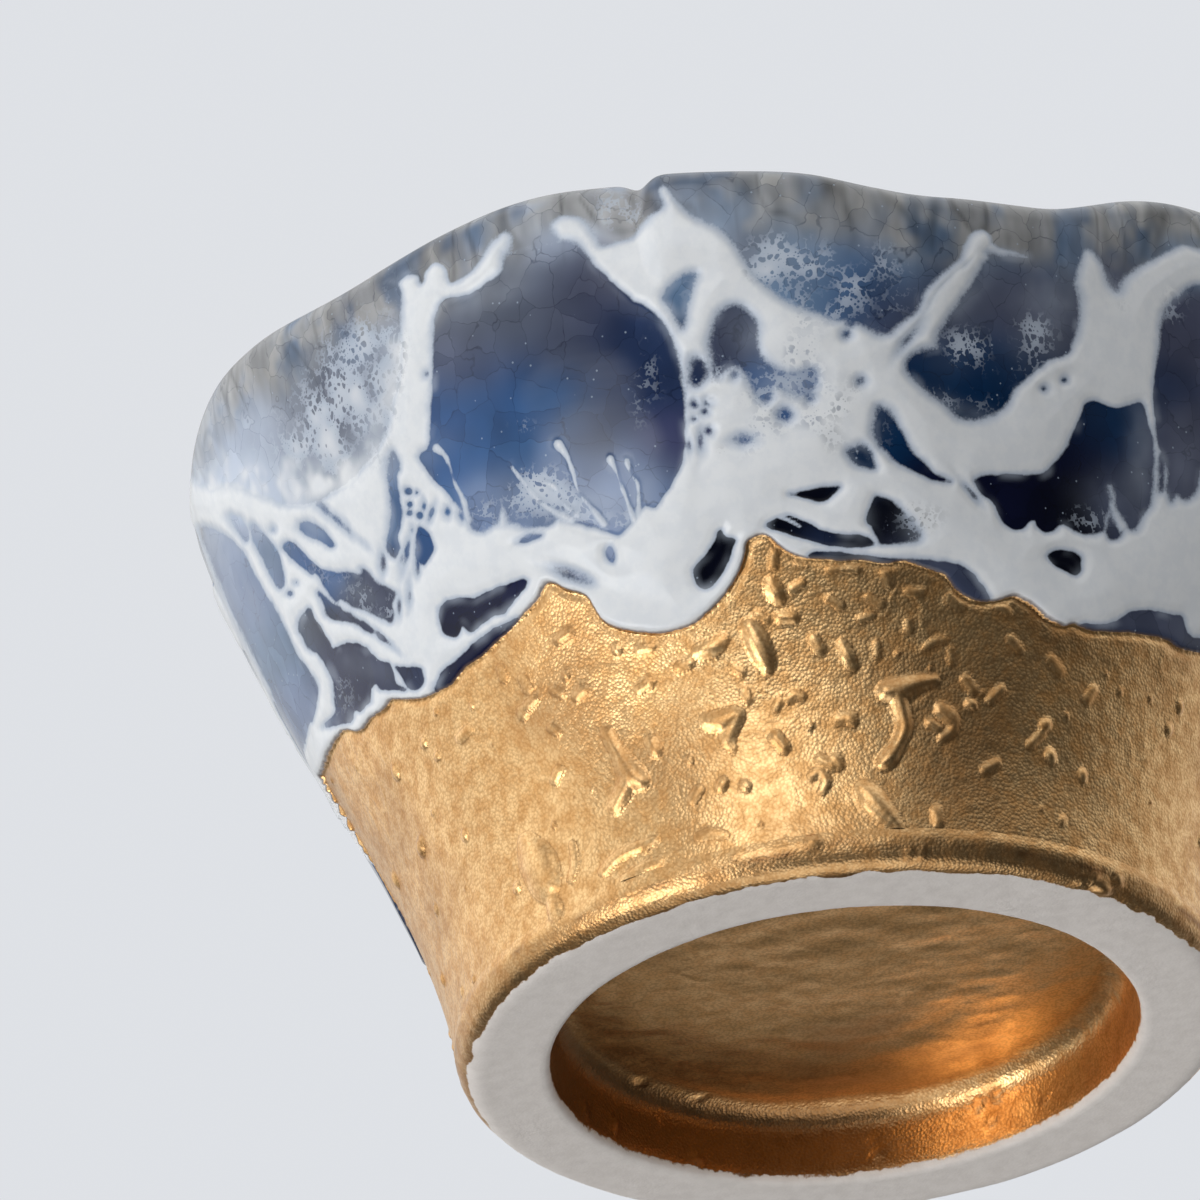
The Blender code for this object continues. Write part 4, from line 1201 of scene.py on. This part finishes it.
def gold_colour(n, tone, grain):
    """Gold: painted shade darkens its pits, the foot of each bead and the left of the recess's side wall;
    patinated patches darken it too, and painted light warms the recess.
    """
    gold = n.mix(tone, GOLD_DEEP, GOLD_PALE)
    # Painted light: a warmer, brighter amber over the recess floor, for light bounced round the recess.
    gold = n.mix(n.step(n.field("soft"), 0.55, 0.78, 0.0, 0.60), gold, GOLD_RECESS_LIGHT)
    # Patinated patches, with painted shade on the left of the recess's side wall.
    gold = n.mix(n.math("MULTIPLY", n.field("patina_and_shade"), 0.95), gold, PATINA_AND_SHADE)
    bead = n.field("bead")
    # Painted shade: a dark ring round the foot of each bead.
    foot = n.math("MULTIPLY", n.step(bead, 0.004, 0.030), n.step(bead, 0.030, 0.080, 0.45, 0.0))
    gold = n.mix(foot, gold, BEAD_FOOT_SHADE)
    # Painted shade: the low pits of the grain are darkened.
    return n.mix(n.step(grain, 0.25, 0.55, 0.38, 0.0), gold, GOLD_PIT_SHADE)


def clay_colour(n, ragged, tone):
    """Pale bare clay with darker specks."""
    body = n.mix(tone, (0.72, 0.66, 0.61), (0.78, 0.72, 0.67))
    return n.mix(n.step(ragged, 0.22, 0.40, 0.0, 0.30), body, (0.42, 0.37, 0.32))


def coating_material():
    """White over blue glaze, gold and bare clay, each where its field says."""
    n = Nodes("cup_glaze_gold_clay")
    ragged = n.math("SUBTRACT", n.noise(0.50, 3.0, 0.6), 0.5)
    tone = n.step(n.noise(1.0, 4.0, 0.62), 0.32, 0.66)
    grain = n.math("SUBTRACT", 0.95, n.cells(GRAIN_SIZE))
    colour, white = glaze_colour(n, ragged, tone, n.bent(1.2, 0.9))
    edge = n.math("MULTIPLY_ADD", ragged, 0.14, n.field("gold"))
    on_gold = n.step(edge, -0.03, 0.03)
    line = n.math("MULTIPLY", n.step(edge, -0.16, -0.02), n.step(edge, -0.02, 0.05, 0.8, 0.0))
    colour = n.mix(line, colour, (0.10, 0.07, 0.06))
    on_clay = n.step(n.math("MULTIPLY_ADD", ragged, 0.3, n.field("clay")), -0.04, 0.04)
    colour = n.mix(on_clay, n.mix(on_gold, colour, gold_colour(n, tone, grain)), clay_colour(n, ragged, tone))
    shader = n.add("ShaderNodeBsdfPrincipled")
    shader.inputs["Specular IOR Level"].default_value = 0.36
    n.feed(shader.inputs["Base Color"], colour)
    n.feed(shader.inputs["Metallic"], n.math("MULTIPLY", on_gold, n.math("SUBTRACT", 1.0, on_clay)))
    worn = n.math("MULTIPLY_ADD", tone, -0.10, 0.40)
    rough = n.blend(on_gold, n.math("MULTIPLY_ADD", white, 0.14, 0.06), worn)
    n.feed(shader.inputs["Roughness"], n.blend(on_clay, rough, 0.85))
    bump = n.add("ShaderNodeBump")
    bump.inputs["Distance"].default_value = 1.0
    smooth_gold = n.math("MAXIMUM", n.field("soft"), n.step(n.field("bead"), 0.03, 0.16, 0.0, 0.85))
    on_coating = n.blend(on_gold, 0.0, n.blend(smooth_gold, 0.020 * MM, 0.002 * MM))
    n.feed(bump.inputs["Height"], n.math("MULTIPLY", grain, n.blend(on_clay, on_coating, 0.008 * MM)))
    n.feed(shader.inputs["Normal"], bump.outputs[0])
    out = n.add("ShaderNodeOutputMaterial")
    n.feed(out.inputs["Surface"], shader.outputs[0])
    return n.material


def floor_material():
    """Pale matt floor, clear from below so that the photograph's low camera looks past it."""
    n = Nodes("floor_pale")
    matt = n.add("ShaderNodeBsdfDiffuse")
    shade = n.mix(n.noise(60.0, 3.0), (0.70, 0.72, 0.75), (0.74, 0.76, 0.79))
    n.feed(matt.inputs["Color"], shade)
    clear = n.add("ShaderNodeBsdfTransparent")
    both = n.add("ShaderNodeMixShader")
    n.feed(both.inputs[0], n.add("ShaderNodeNewGeometry").outputs["Backfacing"])
    n.feed(both.inputs[1], matt.outputs[0])
    n.feed(both.inputs[2], clear.outputs[0])
    out = n.add("ShaderNodeOutputMaterial")
    n.feed(out.inputs["Surface"], both.outputs[0])
    return n.material


FLOOR_HALF = 0.9        # metres


def build_floor():
    h = FLOOR_HALF
    mesh = bpy.data.meshes.new("floor")
    mesh.from_pydata([(-h, -h, 0), (h, -h, 0), (h, h, 0), (-h, h, 0)], [], [(0, 1, 2, 3)])
    mesh.materials.append(floor_material())
    floor = bpy.data.objects.new("floor", mesh)
    bpy.context.scene.collection.objects.link(floor)
    floor.visible_diffuse = floor.visible_glossy = floor.visible_transmission = floor.visible_shadow = False


def build_camera():
    place, right, up, forward = (Vector(v) for v in CAMERA)
    data = bpy.data.cameras.new("camera")
    data.sensor_width = SENSOR
    data.lens = SENSOR * FOCAL_PX / FRAME_PX
    data.clip_start = 0.01
    camera = bpy.data.objects.new("camera", data)
    turn = Matrix((right, up, -forward)).transposed().to_4x4()
    camera.matrix_world = Matrix.Translation(place * MM) @ turn
    bpy.context.scene.collection.objects.link(camera)
    bpy.context.scene.camera = camera


# Soft lights: how far each stands to the right, up and back towards the camera, its power and colour
LIGHTS = {
    "key_left": (-0.80, 0.25, 0.45, 0.35, (1.0, 0.99, 0.97)),
    "fill_right": (0.55, 0.55, 0.60, 0.28, (1.0, 0.99, 0.98)),
}
LIGHT_AWAY, LIGHT_SIZE = 0.75, 0.40     # metres
LIGHT_TARGET = (0.0, -0.012, 0.018)


def area_light(name, across, upward, toward, power, tone):
    _, right, up, forward = (Vector(v) for v in CAMERA)
    offset = (right * across + up * upward - forward * toward).normalized() * LIGHT_AWAY
    data = bpy.data.lights.new(name, "AREA")
    data.shape, data.size, data.energy, data.color = "DISK", LIGHT_SIZE, power, tone
    light = bpy.data.objects.new(name, data)
    light.location = Vector(LIGHT_TARGET) + offset
    light.visible_glossy = False
    light.rotation_euler = (-offset).to_track_quat("-Z", "Y").to_euler()
    bpy.context.scene.collection.objects.link(light)


def glow(tree, place, direction, narrow, wide, strength):
    """A soft-edged bright area of the studio, full within `narrow` degrees and gone at `wide`."""
    _, right, up, forward = (Vector(v) for v in CAMERA)
    across, upward, toward = direction
    dot = tree.nodes.new("ShaderNodeVectorMath")
    dot.operation = "DOT_PRODUCT"
    dot.inputs[1].default_value = (right * across + up * upward - forward * toward).normalized()
    tree.links.new(place, dot.inputs[0])
    edge = tree.nodes.new("ShaderNodeMapRange")
    edge.interpolation_type = "SMOOTHSTEP"
    edge.inputs["From Min"].default_value = math.cos(math.radians(wide))
    edge.inputs["From Max"].default_value = math.cos(math.radians(narrow))
    edge.inputs["To Max"].default_value = strength
    tree.links.new(dot.outputs["Value"], edge.inputs["Value"])
    return edge.outputs[0]


# Bright areas of the studio: direction (right, up, towards the camera), degrees full and gone, strength
GLOWS = (
    ((-0.70, -0.24, 0.67), 12.0, 22.0, 4.4),
    ((-0.97, 0.15, -0.25), 25.0, 58.0, 0.62),
    ((-0.34, 0.56, 0.75), 9.0, 27.0, 2.3),
    ((0.10, 0.98, -0.10), 25.0, 60.0, 0.65),
    ((0.12, 0.44, 0.89), 5.0, 22.0, 0.40),
    ((0.00, -0.47, 0.88), 10.0, 34.0, 0.08),
    ((-0.96, 0.27, 0.08), 8.0, 26.0, 0.58),
    ((0.92, 0.12, -0.36), 12.0, 40.0, 0.22),
    ((0.05, -0.80, 0.60), 10.0, 38.0, 1.30),
    ((0.00, 0.35, -0.94), 55.0, 95.0, 0.62),
)
STUDIO_DARK = 0.05
BACKDROP, STUDIO_TONE = (0.735, 0.755, 0.79, 1.0), (0.97, 0.985, 1.0, 1.0)


def build_world():
    """Backdrop seen by the camera, and a soft studio that lights and is mirrored by the cup."""
    world = bpy.data.worlds.new("studio")
    bpy.context.scene.world = world
    world.use_nodes = True
    tree = world.node_tree
    tree.nodes.clear()
    add, link = tree.nodes.new, tree.links.new
    seen, lit, both, out = (add(kind) for kind in ("ShaderNodeBackground", "ShaderNodeBackground",
                                                   "ShaderNodeMixShader", "ShaderNodeOutputWorld"))
    seen.inputs["Color"].default_value = BACKDROP
    place = add("ShaderNodeTexCoord").outputs["Generated"]
    total = None
    for direction, narrow, wide, strength in GLOWS:
        part = glow(tree, place, direction, narrow, wide, strength)
        join = add("ShaderNodeMath")
        link(part, join.inputs[0])
        if total is None:
            join.inputs[1].default_value = STUDIO_DARK
        else:
            link(total, join.inputs[1])
        total = join.outputs[0]
    lit.inputs["Color"].default_value = STUDIO_TONE
    link(total, lit.inputs["Strength"])
    link(add("ShaderNodeLightPath").outputs["Is Camera Ray"], both.inputs[0])
    link(lit.outputs[0], both.inputs[1])
    link(seen.outputs[0], both.inputs[2])
    link(both.outputs[0], out.inputs[0])


def build_stage():
    build_floor()
    build_camera()
    build_world()
    for name, settings in LIGHTS.items():
        area_light(name, *settings)
    scene = bpy.context.scene
    scene.view_settings.view_transform = "Standard"
    scene.view_settings.look = "None"


def main():
    coating = coating_material()
    build_outside(coating)
    build_foot(coating)
    build_inside(coating)
    build_stage()


main()
